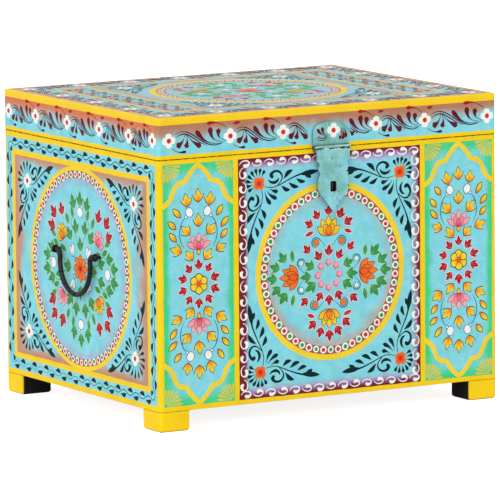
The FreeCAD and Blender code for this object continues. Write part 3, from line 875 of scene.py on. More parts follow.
def comma(face, start, end, width, bend, colour, layer=0, tail=None):
    # a drop of paint: a thin tail at the start, in its own colour where given, that swells to a round head
    neck, swell = (0.87, 2.2) if tail else (0.76, 1.2)  # where the head starts to close, how late it swells
    path = []
    widths = []
    shades = []
    head = [neck + (1 - neck) * share for share in (0.0, 0.42, 0.72, 0.93)]
    for share in [0.0, 0.15, 0.3, 0.45, 0.58, 0.68] + head:
        path.append(start + (end - start) * complex(share, bend * math.sin(math.pi * share)))
        closing = max(0.0, share - neck) / (1 - neck)
        widths.append(max(0.9, width * min(1.0, share / neck) ** swell * math.sqrt(1 - closing ** 2)))
        shades.append(mixed(tail or colour, colour, min(1.0, 1.5 * share)))
    face.stroke(path, widths, shades, layer)


slipProfile = (  # shares of the length and of the width
    (0.0, 0.0), (0.2, 0.40), (0.4, 0.76), (0.6, 0.88), (0.8, 0.68), (0.94, 0.32), (1.0, 0.0), (0.7, -0.12),
    (0.3, -0.10),
)


def slip(face, start, end, width, colour):
    # a leaf with one nearly straight edge; the other swells, to the left of the way for a positive width
    way = end - start
    face.dab([start + way * complex(share, width * out / abs(way)) for share, out in slipProfile], colour)


def blade(face, start, end, width, colour, layer=0, base=None, rim=None, rimWidth=1.2, belly=1.0):
    # a leaf from its foot to its tip, with an outline where rim is given
    way = end - start
    for grow, paint, step, foot in ((rimWidth, rim, 0.0, None), (0.0, colour, 0.25, base)):
        if paint:
            outline = leafOutline(abs(way) + grow, width + grow, belly)
            turn = heading(way.real, way.imag)
            face.dab(turned(outline, (start + end) / 2, turn), paint, layer + step, foot)


def petal(face, place, turn, foot, tip, width, pot, layer, belly=1.0, deep=0.0):
    # an outlined blade between two points of a flower or leaf that stands at a place
    start, end = turned((foot, tip), place, turn)
    shade = mixed(pot["tip"], pot["foot"], deep)
    blade(face, start, end, width, shade, layer, pot["foot"], pot["rim"], pot["halo"], belly)


def leaf(face, place, turn, length, width, pot):
    turn += face.chance.uniform(-7, 7)
    length *= face.chance.uniform(0.92, 1.08)
    petal(face, place, turn, -0.5j * length, 0.5j * length, width, pot, leafLayer)
    vein = turned((-0.4j, 0j, 0.25j), place, turn, length)
    face.stroke(vein, [0.7, 0.8, 0.4], pot["vein"], leafLayer + 1)


def lobedLeaf(face, place, turn, size, pot):
    # three pointed lobes on one foot, with a thin outline and fine veins
    turn += face.chance.uniform(-8, 8)
    size *= face.chance.uniform(0.93, 1.07)
    shape = lobedOutline()
    face.dab(turned(shape, place, turn, size + pot["halo"]), pot["rim"], leafLayer)
    heart = mixed(pot["tip"], pot["foot"], 0.45)
    face.dab(turned(shape, place, turn, size), pot["tip"], leafLayer + 0.5, pot["foot"], heart)
    for k, tip in enumerate((-0.20 - 0.08j, 0.20 - 0.08j, 0.18j)):
        vein = turned((-0.38j, tip * 0.6 - 0.12j, tip), place, turn, size)
        face.stroke(vein, [0.7, 0.7, 0.4], pot["vein"], leafLayer + 1 + 0.2 * k)


def bloom(face, place, radius, petals, width, belly, pot, centre):
    # a ring of outlined petals round a button
    for k in range(petals):
        turn = 360 * k / petals + face.chance.uniform(-3, 3)
        layer = flowerLayer + 0.5 * (k % 2)
        petal(face, place, turn, 0.1j * radius, 1j * radius, width, pot, layer, belly)
    face.disc(place, radius * 0.2, 10, centre, flowerLayer + 2)


def quatrefoil(face, place, size, pot, centre, turn=0.0, notch=0.34):
    # four round petals and a button
    turn += face.chance.uniform(-7, 7)
    petals = []
    for k in range(32):
        angle = math.tau * k / 32
        reach = size / 2 * (1 - notch + notch * abs(math.cos(2 * angle)) ** 0.55)
        petals.append(cmath.rect(reach * face.chance.uniform(0.97, 1.03), angle))
    face.dab(turned(petals, place, turn), pot["tip"], flowerLayer, None, pot["foot"])
    face.disc(place, size * 0.18, 12, centre, flowerLayer + 1.5)


lotusPetals = (  # tips in shares of width and height, and how deep the colour is; back petals first
    (0, 1.0, 0), (-0.33, 0.84, 0), (0.33, 0.84, 0), (-0.52, 0.46, 0.1), (0.52, 0.46, 0.1),
    (-0.21, 0.60, 0.35), (0.21, 0.60, 0.35), (0, 0.50, 0.65),
)


def lotus(face, place, turn, width, height, plump, pot):
    # pointed petals that open from one foot
    for k, (aside, rise, deep) in enumerate(lotusPetals):
        tip = complex(aside * width, (rise - 0.5) * height)
        layer = flowerLayer + 0.5 * k
        petal(face, place, turn, -0.5j * height, tip, plump * height, pot, layer, 1.15, deep)


dotCurl = {"start": 60, "sweep": 245, "room": 2.2, "entry": 3.8, "stem": 1.4, "rim": 0.6}  # degrees and mm


def curledDot(face, dot, tail, radius, colour, shade, hand):
    # a dot in the curl of a thin dark stem
    start = cmath.phase(tail - dot) + hand * math.radians(dotCurl["start"])
    path = [tail]
    for k in range(-1, 9):
        away = radius + dotCurl["entry" if k < 0 else "room"]
        path.append(dot + cmath.rect(away, start + hand * math.radians(dotCurl["sweep"]) * k / 8))
    line(face, path, dotCurl["stem"], tin["stem"])
    face.disc(dot, radius + dotCurl["rim"], 14, tin["stem"], 1)
    face.disc(dot, radius, 12, colour, 1.5, shade)


def whiteBud(face, place, turn, size, hand):
    # a plump white bud in a thin blue line, with a small one beside its foot
    for aside, rise, part, layer in ((0.0, 0.0, 1.0, 2.0), (0.52, -0.32, 0.3, 1.6)):
        middle = turned([complex(hand * aside, rise)], place, turn, size)[0]
        for grow, colour, step in ((1.6, "blue", 0.0), (0.0, "white", 0.4)):
            oval = [complex(p.real * 0.43, p.imag * 0.5) for p in roundOutline(size * part + grow)]
            face.dab(turned(oval, middle, turn), tin[colour], layer + step)


def whitePair(face, place, turn, size):
    # two slim white petals that part from one foot, over a thin curl
    for k, tip in enumerate((-0.26 + 0.42j, 0.24 + 0.5j)):
        start, end = turned((-0.4j, tip), place, turn, size)
        blade(face, start, end, 0.40 * size, tin["white"], 1.5 + 0.5 * k, None, tin["blue"], 1.6, 1.2)
    curl = ((-0.30, -0.38), (-0.10, -0.42), (0.10, -0.52), (0.12, -0.68), (-0.02, -0.76), (-0.14, -0.66))
    line(face, turned(spots(curl), place, turn, size), 1.3, tin["blue"])


def beadRing(face, layout):
    # yellow ring, brown band and a string of beads
    width = layout["ringWidth"]
    inner = layout["ringOuter"] - width

    def oval(place):
        return complex(place.real, layout["ringRise"] + layout["ringTall"] * place.imag)

    ring = [oval(place) for place in roundOutline(inner + width / 2, 120)]
    widths = [width * (1 + 0.04 * math.sin(k * 0.9)) for k in range(len(ring))]
    face.stroke(ring, widths, tin["ringYellow"], 1, closed=True)
    bandWidth = 2 * (inner - layout["beadRing"]) + 0.5
    band = [oval(place) for place in roundOutline(inner - bandWidth / 2 + 0.6, 120)]
    face.stroke(band, [bandWidth] * len(band), tin["beadBrown"], 0, closed=True)
    for k in range(layout["beads"]):
        reach = layout["beadRing"] + face.chance.uniform(-0.5, 0.5)
        place = oval(cmath.rect(reach, math.tau * k / layout["beads"]))
        size = layout["bead"] * face.chance.uniform(0.93, 1.07)
        face.disc(place, size, 12, tin["white"], 1)
        face.disc(place, size * 0.6, 10, tin["beadRed"] if k % 2 else tin["beadGreen"], 2)


curlPath = (  # across, up and width of a white curl, in shares of its length, from its thin end
    (0.05, 0.50, 0.06), (-0.15, 0.40, 0.08), (-0.31, 0.20, 0.10), (-0.36, -0.04, 0.11), (-0.30, -0.30, 0.11),
    (-0.14, -0.46, 0.12), (0.05, -0.48, 0.15), (0.21, -0.38, 0.22), (0.29, -0.21, 0.30), (0.27, -0.03, 0.33),
    (0.16, 0.05, 0.25), (0.05, 0.03, 0.10),
)


def whiteCurl(face, place, turn, size, slim, hand, layer):
    # one unit of the white margin: a thin line that comes round to a thick drop
    turn += face.chance.uniform(-6, 6)
    size *= face.chance.uniform(0.94, 1.06)
    path = [complex(hand * slim * across, up) for across, up, press in curlPath]
    widths = [size * press for across, up, press in curlPath]
    face.stroke(turned(path, place, turn, size), widths, tin["white"], layer)


armPattern = {  # way along the arm and step aside, for an arm of this length
    "length": 86.0,
    "lines": (  # stem, curl and crescent, with their widths
        (((8.5, -4.8), (19, -6.7), (28.7, -4.9), (42, 0.4), (56, 5.2), (68, 7.6)),
         (1.0, 1.2, 1.4, 1.7, 2.2, 3.0)),
        (((27, -5.2), (32.6, 1), (34, 6.7), (30.6, 11.7), (25, 13.6), (20, 12), (17.8, 9), (20, 6.2)),
         (1.2, 1.7, 2.4, 3.0, 3.2, 4.0, 5.2, 4.2)),
        (((13.6, 3.6), (17, 0.4), (22.6, -0.8), (27, 1.2), (28.8, 4.6)), (0.9, 3.0, 4.2, 3.4, 1.1)),
    ),
    "slips": ((36, 2.0, 50, 12.6, 6.0), (32.5, -5.6, 46, -12, -5.6), (43, -2.4, 58.5, -9.2, -5.6),
              (54, 1.6, 68.5, -3, -5.2)),  # start, end and width
    "fork": ((60, 6.0, 88, 8.6, 7.0), (66, 8.2, 77, 0.4, 6.4)),
}


def sprayArm(face, place, along, aside, length, lean, colour):
    # a stem with a curl, leaves and a forked end; along and aside are its ways, lean its slope to the side
    share = length / armPattern["length"]
    hand = (along.conjugate() * aside).imag

    def at(a, b):
        return place + along * a * share + aside * (b + lean * a * share)

    for points, widths in armPattern["lines"]:
        swelling(face, [at(*point) for point in points], widths, colour)
    for a, b, c, d, width in armPattern["slips"]:
        slip(face, at(a, b), at(c, d), width * hand, colour)
    for a, b, c, d, width in armPattern["fork"]:
        blade(face, at(a, b), at(c, d), width, colour)


innerDrops = ((8.5, 11, 17, 27.5), (16, 8, 27.5, 12), (11, 10, 26, 21))  # starts and ends, from a flower
innerDropWidth = 5.8


def cornerSpray(face, place, sideU, sideV, style):
    # a flower with a fan of drops to the corner and two leafy arms
    colour = tin["ink"]
    outward = math.degrees(math.atan2(sideV, sideU))
    near = style["dropStart"]
    for share in [k / (style["fan"] - 1) for k in range(style["fan"])]:
        angle = math.radians(outward + style["spread"] * (2 * share - 1))
        far = near + style["drop"] * (0.85 + 0.15 * math.sin(math.pi * share))
        start, end = [place + cmath.rect(away, angle) for away in (near, far)]
        comma(face, start, end, style["dropWidth"], 0.06, colour)
    for a, b, c, d in innerDrops:
        start = place - complex(sideU * a, sideV * b) * style["inner"]
        end = place - complex(sideU * c, sideV * d) * style["inner"]
        comma(face, start, end, innerDropWidth, 0.08 * sideU * sideV, colour)
    across, up = complex(sideU, 0), complex(0, sideV)
    sprayArm(face, place, -across, up, style["armAcross"], style["leanAcross"], colour)
    sprayArm(face, place, -up, across, style["armUp"], style["leanUp"], colour)
    quatrefoil(face, place, style["flower"], style["petals"], tin["red"], style["turn"], style["notch"])


def fourSprays(face, style):
    across, up = style["place"]
    for sideU in (-1, 1):
        for sideV in (-1, 1):
            cornerSpray(face, complex(sideU * across, sideV * up), sideU, sideV, style)


def mirrored(places):
    for u, v in places:
        yield u, v
        if u:
            yield -u, v


def paintPot(tip, foot, rim, vein, halo=1.2):
    # the colours of one kind of leaf or petal, and the width of its outline
    return {"tip": tin[tip], "foot": tin[foot], "rim": tin[rim], "vein": tin[vein], "halo": halo}


redLeaf = paintPot("leafRed", "leafRed", "palePink", "veinRed", 2.0)
greenLeaf = paintPot("green", "lightGreen", "paleGreen", "veinGreen", 1.8)
amberLeaf = paintPot("amber", "amberCore", "olive", "amberCore", 2.1)
yellowPetal = paintPot("petalYellow", "flame", "umber", "flame", 1.5)
orangePetal = paintPot("orange", "flame", "darkRed", "darkRed", 1.5)
pinkPetal = paintPot("lightPink", "rose", "deepRose", "rose", 1.1)
whitePetal = paintPot("white", "white", "ice", "ice")
glowPetal = paintPot("orange", "red", "flame", "flame")

frontBouquet = {
    "centre": -2.0 - 3.0j,
    "redLeaf": 14.2,
    "greenLeaf": 16.6,
    "redLeaves": ((0, 82), (18, 77), (29, 66), (32.5, 34), (15.8, 24.7), (0, 30.6), (14.3, -27.8), (0, -33),
                  (36.6, -32.7), (25.2, -63), (13.3, -73), (0, -78)),
    "redSlips": ((28.5, 53.5), (27, -51.3)),
    "redSlip": (13, 5.5),  # length and width
    "greenLeaves": ((68.5, 26), (79.5, 14.4), (84, 0), (78, -15.4), (67.6, -25.3), (28.5, 12.9), (34, -1.2),
                    (27, -14.4)),
    "greenSlips": ((54, 27), (53.5, -29)),
    "greenSlip": (15, 6),
    "whiteDots": ((41, 17), (41, -17)),
    "whiteDot": 3.3,
    "orangeDots": ((18.5, 41.5), (21, -37.6)),
    "orangeDot": 4.2,
    "pinkFlowers": 8,
    "pinkRing": 16.0,
    "pinkFlower": 5.0,
    "lotuses": ((0, 62, 0, 32, 26, 0.34, yellowPetal), (0, -57, 180, 30, 25, 0.34, yellowPetal),
                (-59, 0, 90, 31, 28, 0.31, orangePetal), (59, 0, -90, 31, 28, 0.31, orangePetal)),
}


def paintFrontBouquet(face):
    middle = frontBouquet["centre"]
    for u, v in mirrored(frontBouquet["orangeDots"]):
        tail = middle + complex(u * 0.3, v - math.copysign(5, v))
        hand = -math.copysign(1, u * v)
        radius = frontBouquet["orangeDot"]
        curledDot(face, middle + complex(u, v), tail, radius, tin["orange"], tin["amberCore"], hand)
    for u, v in mirrored(frontBouquet["whiteDots"]):
        tail = middle + complex(u * 0.9, v * 0.25)
        hand = math.copysign(1, u * v)
        radius = frontBouquet["whiteDot"]
        curledDot(face, middle + complex(u, v), tail, radius, tin["white"], tin["ice"], hand)
    for u, v in mirrored(frontBouquet["redLeaves"]):
        focus = 46 if v > 45 else -44 if v < -45 else 0
        lobedLeaf(face, middle + complex(u, v), heading(u, v - focus), frontBouquet["redLeaf"], redLeaf)
    for u, v in mirrored(frontBouquet["redSlips"]):
        leaf(face, middle + complex(u, v), heading(u, -v * 0.25), *frontBouquet["redSlip"], redLeaf)
    for u, v in mirrored(frontBouquet["greenLeaves"]):
        focus = math.copysign(50, u) if abs(u) > 45 else 0
        lobedLeaf(face, middle + complex(u, v), heading(u - focus, v), frontBouquet["greenLeaf"], greenLeaf)
    for u, v in mirrored(frontBouquet["greenSlips"]):
        leaf(face, middle + complex(u, v), heading(u * 0.1, v), *frontBouquet["greenSlip"], greenLeaf)
    size = frontBouquet["pinkFlower"]
    count = frontBouquet["pinkFlowers"]
    for k in range(count):
        place = middle + cmath.rect(frontBouquet["pinkRing"], math.tau * (0.25 - k / count))
        turn = face.chance.uniform(0, 90)
        shadow = turned(roundOutline(size + 0.4, 20, 5, 0.13), place - 0.5 - 0.6j, turn)
        face.dab(shadow, tin["rose"], 1)
        flower = turned(roundOutline(size, 20, 5, 0.15), place, turn)
        face.dab(flower, tin["pink"], 1.5, None, tin["lightPink"])
    for u, v, turn, width, height, plump, pot in frontBouquet["lotuses"]:
        lotus(face, middle + complex(u, v), turn, width, height, plump, pot)


frontSpray = {
    "flower": 18.0,
    "petals": glowPetal,
    "turn": 45.0,
    "notch": 0.22,
    "fan": 8,
    "spread": 74.0,  # degrees to each side of the way to the corner
    "dropStart": 9.0,
    "drop": 10.6,
    "dropWidth": 4.8,
    "inner": 1.0,
    "armAcross": 86.0,
    "leanAcross": 0.02,  # how far an arm slopes outwards
    "armUp": 86.0,
    "leanUp": 0.09,
    "place": (104.0, 120.0),
}

curlMargin = {
    "length": 14.2,
    "pitch": 17.8,
    "columnInset": 7.2,
    "columnStart": 18.0,  # from the top of the panel to the first curl of a column
    "columnSlim": 0.95,
    "rowInset": 6.3,
    "rowStart": 9.5,
    "rowSlim": 0.75,
}


def curlRun(face, middle, along, half, turn, slim, layer):
    # curls in a row, every other one a mirror image
    count = round(2 * half / curlMargin["pitch"])
    for k in range(count + 1):
        place = middle + along * half * (2 * k / count - 1)
        whiteCurl(face, place, turn, curlMargin["length"], slim, 1 if k % 2 else -1, layer)


def paintCentrePanel(face):
    for side in (-1, 1):
        row = 1j * side * (panelHalfUp - curlMargin["rowInset"])
        curlRun(face, row, 1, centreHalf - curlMargin["rowStart"], 90, curlMargin["rowSlim"], 1.0)
        column = side * (centreHalf - curlMargin["columnInset"])
        curlRun(face, column, 1j, panelHalfUp - curlMargin["columnStart"], 0, curlMargin["columnSlim"], 1.4)
    beadRing(face, frontLayout)
    fourSprays(face, frontSpray)
    paintFrontBouquet(face)


cartouche = {
    "lineWidth": 6.2,
    "arch": ((0, -2), (8, -8.5), (15, -17), (19, -22.6), (27.5, -24.4), (34, -30), (38, -40), (43, -47),
             (51, -53)),
    "fan": 7,
    "fanAngles": (5, 80),  # the first stroke of a corner's fan, and how far the last is from it
    "fanReach": (4, 21, 4),  # from the corner: a stroke's start and end, and how much longer level ones are
    "fanStroke": 3.3,
    "stem": ((21, 46), (26, 56), (27, 68), (23, 80), (15, 87)),
    "stemWidth": 1.5,
    "bud": (13, 91),
    "budSize": 12.0,
    "leaf": 15.0,
    "lobed": ((13, 36), (32, 44), (18, 68), (0, 80), (17, 106), (0, 111)),
    "slips": ((31, 91), (38, 76), (37, 61)),
    "slipWidth": 6.4,
    "heart": (36.5, 43.5, 5.0),  # foot, tip and width of the leaf under a lotus
    "lotus": 54.0,
    "lotusSize": (33, 22, 0.33),
    "ring": 24.5,
    "ringLeaf": 13.4,
    "ringLeaves": 10,
    "flower": (13.0, 6, 10.0, 1.5),  # radius, number of petals, their width and belly
}


def paintCartouche(face, u0):
    # a tall panel with a pointed arch at each end, the lower half a mirror of the upper
    size = cartouche["leaf"]
    first, sweep = cartouche["fanAngles"]
    near, far, more = cartouche["fanReach"]
    foot, tip, width = cartouche["heart"]
    for flip in (1, -1):
        def at(a, b):
            return complex(u0 + a, flip * b)

        for side in (1, -1):
            path = curve([at(side * a, panelHalfUp + b) for a, b in cartouche["arch"]], 4)
            face.stroke(path, [cartouche["lineWidth"]] * len(path), tin["ringYellow"], 1 + 0.3 * side)
            corner = at(side * (sidePanelHalf - 1), panelHalfUp - 1)
            for k in range(cartouche["fan"]):
                angle = math.radians(first + sweep * k / (cartouche["fan"] - 1))
                way = complex(-side * math.cos(angle), -flip * math.sin(angle))
                end = corner + way * (far + more * math.cos(angle))
                comma(face, corner + way * near, end, cartouche["fanStroke"], 0.0, tin["ochre"], 1)
            stem = [at(side * a, b) for a, b in cartouche["stem"]]
            line(face, stem, cartouche["stemWidth"], tin["blue"])
            a, b = cartouche["bud"]
            whiteBud(face, at(side * a, b), heading(side * 0.3, flip), cartouche["budSize"], side * flip)
        for u, v in mirrored(cartouche["lobed"]):
            turn = heading(u * 0.8, flip * (v - cartouche["lotus"] if v > 60 else 12))
            lobedLeaf(face, at(u, v), turn, size, amberLeaf)
        for u, v in mirrored(cartouche["slips"]):
            leaf(face, at(u, v), heading(u * 0.35, flip * 14), size, cartouche["slipWidth"], amberLeaf)
        blade(face, at(0, foot), at(0, tip), width, tin["amber"], 2, tin["amberCore"], tin["olive"])
        lotus(face, at(0, cartouche["lotus"]), 90 - 90 * flip, *cartouche["lotusSize"], pinkPetal)
    for k in range(cartouche["ringLeaves"]):
        way = cmath.rect(1.0, math.tau * (0.25 - k / cartouche["ringLeaves"]))
        turn = heading(way.real, way.imag)
        lobedLeaf(face, u0 + cartouche["ring"] * way, turn, cartouche["ringLeaf"], redLeaf)
    bloom(face, u0, *cartouche["flower"], amberLeaf, tin["flame"])


def uprightFace(name, body, outX, outY, height, seed):
    # a face of the box or the lid that looks along (outX, outY)
    origin = (outX * halfWidth, outY * halfDepth, height)
    return PaintedFace(name, body, origin, (-outY, outX, 0), (0, 0, 1), seed)


stapleShade = {"radius": 15.0, "drop": 2.0}  # painted shade round the staple, behind the strap's slot


def paintFront(material):
    face = uprightFace("front_painting", "box", 0, -1, bodyMiddle, 11)
    paintCentrePanel(face)
    for side in (-1, 1):
        paintCartouche(face, side * sidePanelMiddle)
    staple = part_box("hasp_staple")
    # a black dab of painted shade on the front, round the staple and behind the strap's slot
    shadeHeight = (staple[0].z + staple[1].z) / 2 / mm - bodyMiddle - stapleShade["drop"]
    face.dab(turned(roundOutline(stapleShade["radius"], 24, 3, 0.06), 1j * shadeHeight), tin["black"], 2)
    face.build(material, "painted_board")


sideBouquet = {
    "leaf": 19.0,
    "stems": (((0, 24), (10, 40), (24, 56), (12, 70)), ((24, 0), (42, 8), (60, 22), (72, 8))),
    "stemWidth": 1.2,
    "greenLeaves": ((0, 89), (18, 84), (33, 0), (12, 53), (28, 42), (0, 31), (87, 9), (75, 20), (54, 12),
                    (18, -84), (0, -92), (12, -53), (28, -42), (0, -31), (87, -9), (75, -20), (54, -12)),
    "greenSlips": ((20, 70), (33, 61), (20, -70), (33, -61), (63, 27), (63, -27), (70, 39), (70, -39),
                   (44, 22), (44, -22)),
    "greenSlip": (16.15, 7.6),  # length and width
    "redLeaves": ((69, 66), (48, 72), (74, 48), (69, -66), (48, -72), (74, -48)),
    "buds": ((0, 72), (0, -72), (70, 0)),
    "bud": 14.5,
    "pairs": ((20, 21), (20, -21)),
    "pair": 17.5,
    "corner": (49.0, 43.0),
    "lotus": (26, 22, 0.42),
    "lotuses": ((-1, 1, yellowPetal), (1, -1, yellowPetal), (1, 1, pinkPetal), (-1, -1, pinkPetal)),
    "flower": (18, 8, 9.4, 1.15),  # radius, number of petals, their width and belly
}


def paintSideBouquet(face):
    size = sideBouquet["leaf"]
    cornerU, cornerV = sideBouquet["corner"]
    for side in (-1, 1):
        for rise in (-1, 1):
            for k, stem in enumerate(sideBouquet["stems"]):
                path = [complex(side * a, rise * b) for a, b in stem]
                line(face, path, sideBouquet["stemWidth"], tin["lightGreen"], 0.4 * k + 0.2 * rise)
    for u, v in mirrored(sideBouquet["greenLeaves"]):
        lobedLeaf(face, complex(u, v), heading(u, v), size, greenLeaf)
    for u, v in mirrored(sideBouquet["greenSlips"]):
        leaf(face, complex(u, v), heading(u, v), *sideBouquet["greenSlip"], greenLeaf)
    for u, v in mirrored(sideBouquet["redLeaves"]):
        turn = heading(u - math.copysign(cornerU * 0.75, u), v - math.copysign(cornerV * 0.75, v))
        lobedLeaf(face, complex(u, v), turn, size, redLeaf)
    for u, v in mirrored(sideBouquet["buds"]):
        whiteBud(face, complex(u, v), heading(-v, u), sideBouquet["bud"], 1)
    for u, v in mirrored(sideBouquet["pairs"]):
        whitePair(face, complex(u, v), heading(u * 0.4, v), sideBouquet["pair"])
    for sideU, sideV, pot in sideBouquet["lotuses"]:
        place = complex(sideU * cornerU, sideV * cornerV)
        lotus(face, place, heading(sideU * 0.6, sideV), *sideBouquet["lotus"], pot)
    bloom(face, 0j, *sideBouquet["flower"], orangePetal, tin["leafRed"])


sideSpray = {
    "flower": 19.0,
    "petals": whitePetal,
    "turn": 0.0,
    "notch": 0.34,
    "fan": 9,
    "spread": 92.0,
    "dropStart": 10.5,
    "drop": 15.5,
    "dropWidth": 4.6,
    "inner": 0.9,
    "armAcross": 68.0,
    "leanAcross": 0.24,
    "armUp": 76.0,
    "leanUp": 0.22,
    "place": (138.0, 98.0),
}

vineStyle = {
    "wave": 31.0,  # length of one wave
    "swing": 2.9,
    "stem": 1.3,
    "leaf": 6.0,
    "leafHalf": 7.0,
    "leafFoot": 3.4,  # how far a leaf's foot and tip lie from the middle line
    "leafTip": 1.4,
    "bend": 6.0,  # radius at the corners of a frame
}


def vine(face, length, at):
    # a wavy stem with a leaf in each hollow; at gives the place for a way along and a step aside
    waves = round(length / vineStyle["wave"])
    shares = [k / (waves * 10) for k in range(waves * 10 + 1)]
    path = [at(length * share, vineStyle["swing"] * math.sin(math.tau * waves * share)) for share in shares]
    face.stroke(path, tapered(len(path), vineStyle["stem"]), tin["ink"])
    half = vineStyle["leafHalf"]
    for k in range(2 * waves):
        middle = length * (k + 0.5) / (2 * waves) + face.chance.uniform(-0.8, 0.8)
        side = 1 if k % 2 else -1
        start = at(middle - half, side * vineStyle["leafFoot"])
        end = at(middle + half, side * vineStyle["leafTip"])
        slip(face, start, end, vineStyle["leaf"] * side, tin["ink"])


def straightVine(face, start, end):
    length = abs(end - start)
    vine(face, length, lambda s, t: start + (end - start) / length * complex(s, t))


def vineFrame(face, halfAcross):
    inset = sideLayout["edgeStripe"] + sideLayout["border"] / 2
    bend = vineStyle["bend"]
    sides = (2 * (halfAcross - inset - bend), 2 * (bodyHalf - inset - bend)) * 2
    arc = math.pi / 2 * bend

    def at(s, t):
        # along each side in turn from the lower left, and round the corner after it
        place = complex(-sides[0] / 2, -sides[1] / 2 - bend)
        way = 1 + 0j
        for side in sides:
            run = min(s, side)
            swept = cmath.rect(1.0, min(s - run, arc) / bend)
            place += way * run - 1j * bend * way * (swept - 1)
            way *= swept
            s = max(0.0, s - run - arc)
        return place + 1j * way * t

    vine(face, sum(sides) + 4 * arc, at)


def paintSide(material, name, side, seed):
    face = uprightFace(name, "box", side, 0, bodyMiddle, seed)
    vineFrame(face, halfDepth)
    beadRing(face, sideLayout)
    fourSprays(face, sideSpray)
    paintSideBouquet(face)
    face.build(material, "painted_board")


def paintBack(material):
    face = uprightFace("back_painting", "box", 0, 1, bodyMiddle, 14)
    vineFrame(face, halfWidth)
    face.build(material, "painted_board")


scrollPattern = {  # shares of the way between two flowers, with heights, widths in mm and bends
    "high": 18.5,  # half height of the band that the heights are drawn for
    "lineWidth": 1.7,
    "lines": (((0.10, 6.6), (0.19, 9.2), (0.28, 8.8), (0.36, 6.0), (0.44, 1.8), (0.53, -3.4), (0.62, -7.4),
               (0.73, -9.6), (0.84, -8.6), (0.93, -4.8)),
              ((0.12, 2.8), (0.17, 5.2), (0.23, 6.4), (0.29, 5.8), (0.36, 2.6), (0.44, -1.6), (0.53, -6.2),
               (0.62, -9.4))),
    "drops": ((0.26, 6.2, 0.13, -8.2, 8.4, 0.16, "wine"), (0.28, 5.6, 0.275, -10.2, 7.4, 0.12, "wine"),
              (0.28, 5.8, 0.52, -10.2, 7.2, -0.06, "wine"), (0.86, -8.0, 0.44, 9.4, 6.6, 0.16, "wine"),
              (0.86, -6.4, 0.67, 12.0, 7.4, 0.24, "wine"), (0.91, -4.6, 0.81, 9.6, 7.2, 0.28, "wine"),
              (0.94, 10.6, 0.62, 17.0, 4.8, -0.12, "leafRed"),
              (0.05, -10.4, 0.28, -15.0, 3.6, -0.12, "plum")),
    "dash": (1.04, 14.6, 1.17, 16.0, 4.0),
}


def scrollUnit(face, at, start, end, band, limit, blocked):
    # between two flowers: a double curve with three drops hanging and three rising
    pitch = end - start
    tall = band / scrollPattern["high"]

    def clear(*shares):
        places = [start + share * pitch for share in shares]
        return not any(blocked[0] < s < blocked[1] or abs(s) > limit for s in places)

    def spot(share, height):
        return at(start + share * pitch, height * tall)

    for k, points in enumerate(scrollPattern["lines"]):
        shown = [spot(share, height) for share, height in points if clear(share)]
        if len(shown) > 2:
            line(face, shown, scrollPattern["lineWidth"], tin["plum"], 0.2 * k)
    a, b, c, d, width = scrollPattern["dash"]
    if clear(a, c):
        blade(face, spot(a, b), spot(c, d), width, tin["leafRed"], 2.6)
    for k, (a, b, c, d, width, bend, paint) in enumerate(scrollPattern["drops"]):
        if clear(c) and not clear(a) and c > a:
            edge = (blocked[1] - start) / pitch  # the stroke comes out from under the plate
            b += (d - b) * (edge - a) / (c - a)
            a = edge
        if clear(a, c):
            comma(face, spot(a, b), spot(c, d), width, bend, tin[paint], 0.8 + 0.2 * k, tin["plum"])


def scrollRun(face, place, turn, flowers, band, limit, blocked=(0, 0), skip=()):
    # flowers in a row with scrolls between them
    def at(s, t):
        return turned([complex(s, t)], place, turn)[0]

    for a, b in zip(flowers, flowers[1:]):
        scrollUnit(face, at, a, b, band, limit, blocked)
    for s in flowers:
        if s not in skip:
            middle = at(s, face.chance.uniform(-1.0, 1.0))
            quatrefoil(face, middle, skirtLayout["flower"], whitePetal, tin["red"], turn)


lidFlowers = {
    "front": (-234, -145, -68, 0, 69, 142, 236),
    "side": (-186, -114, -31, 52, 127, 186.5),
    "back": (-234, -150, -75, 0, 75, 150, 234),
    "clear": 7.0,  # room that the scrolls leave at a corner
    "plateClear": 1.5,  # and beside the hasp plate
}


def paintSkirts(material):
    bandLow = lidLow + skirtLayout["line"]
    middle = (bandLow + railTop) / 2
    band = (railTop - bandLow) / 2
    plateHalf = haspPlate[1].x / mm + lidFlowers["plateClear"]
    faces = (("front", 0, -1, "front", halfWidth, (-plateHalf, plateHalf), (0,), 21),
             ("left", -1, 0, "side", halfDepth, (0, 0), (), 22),
             ("right", 1, 0, "side", halfDepth, (0, 0), (), 23),
             ("back", 0, 1, "back", halfWidth, (0, 0), (), 24))
    for name, outX, outY, row, half, blocked, skip, seed in faces:
        face = uprightFace("lid_" + name + "_painting", "lid", outX, outY, middle, seed)
        scrollRun(face, 0j, 0, lidFlowers[row], band, half - lidFlowers["clear"], blocked, skip)
        face.build(material, "painted_board")


platePattern = {
    "rise": 3.0,  # of its middle, above that of the plate
    "flower": 19,
    "flowerAt": 5 + 4j,
    "drops": ((17, 6, 13.5, -8), (18, 6, 18.5, -8.5), (20, 6, 23, -6.5), (-8, -2, -19, 7), (-6, -3, -12, 9)),
    "dropWidth": 4.8,
    "line": ((-20, -3), (-13, -5.5), (-7, -4), (-4, 0)),
    "lineShifts": (0, 2.6),
    "lineWidth": 1.3,
}


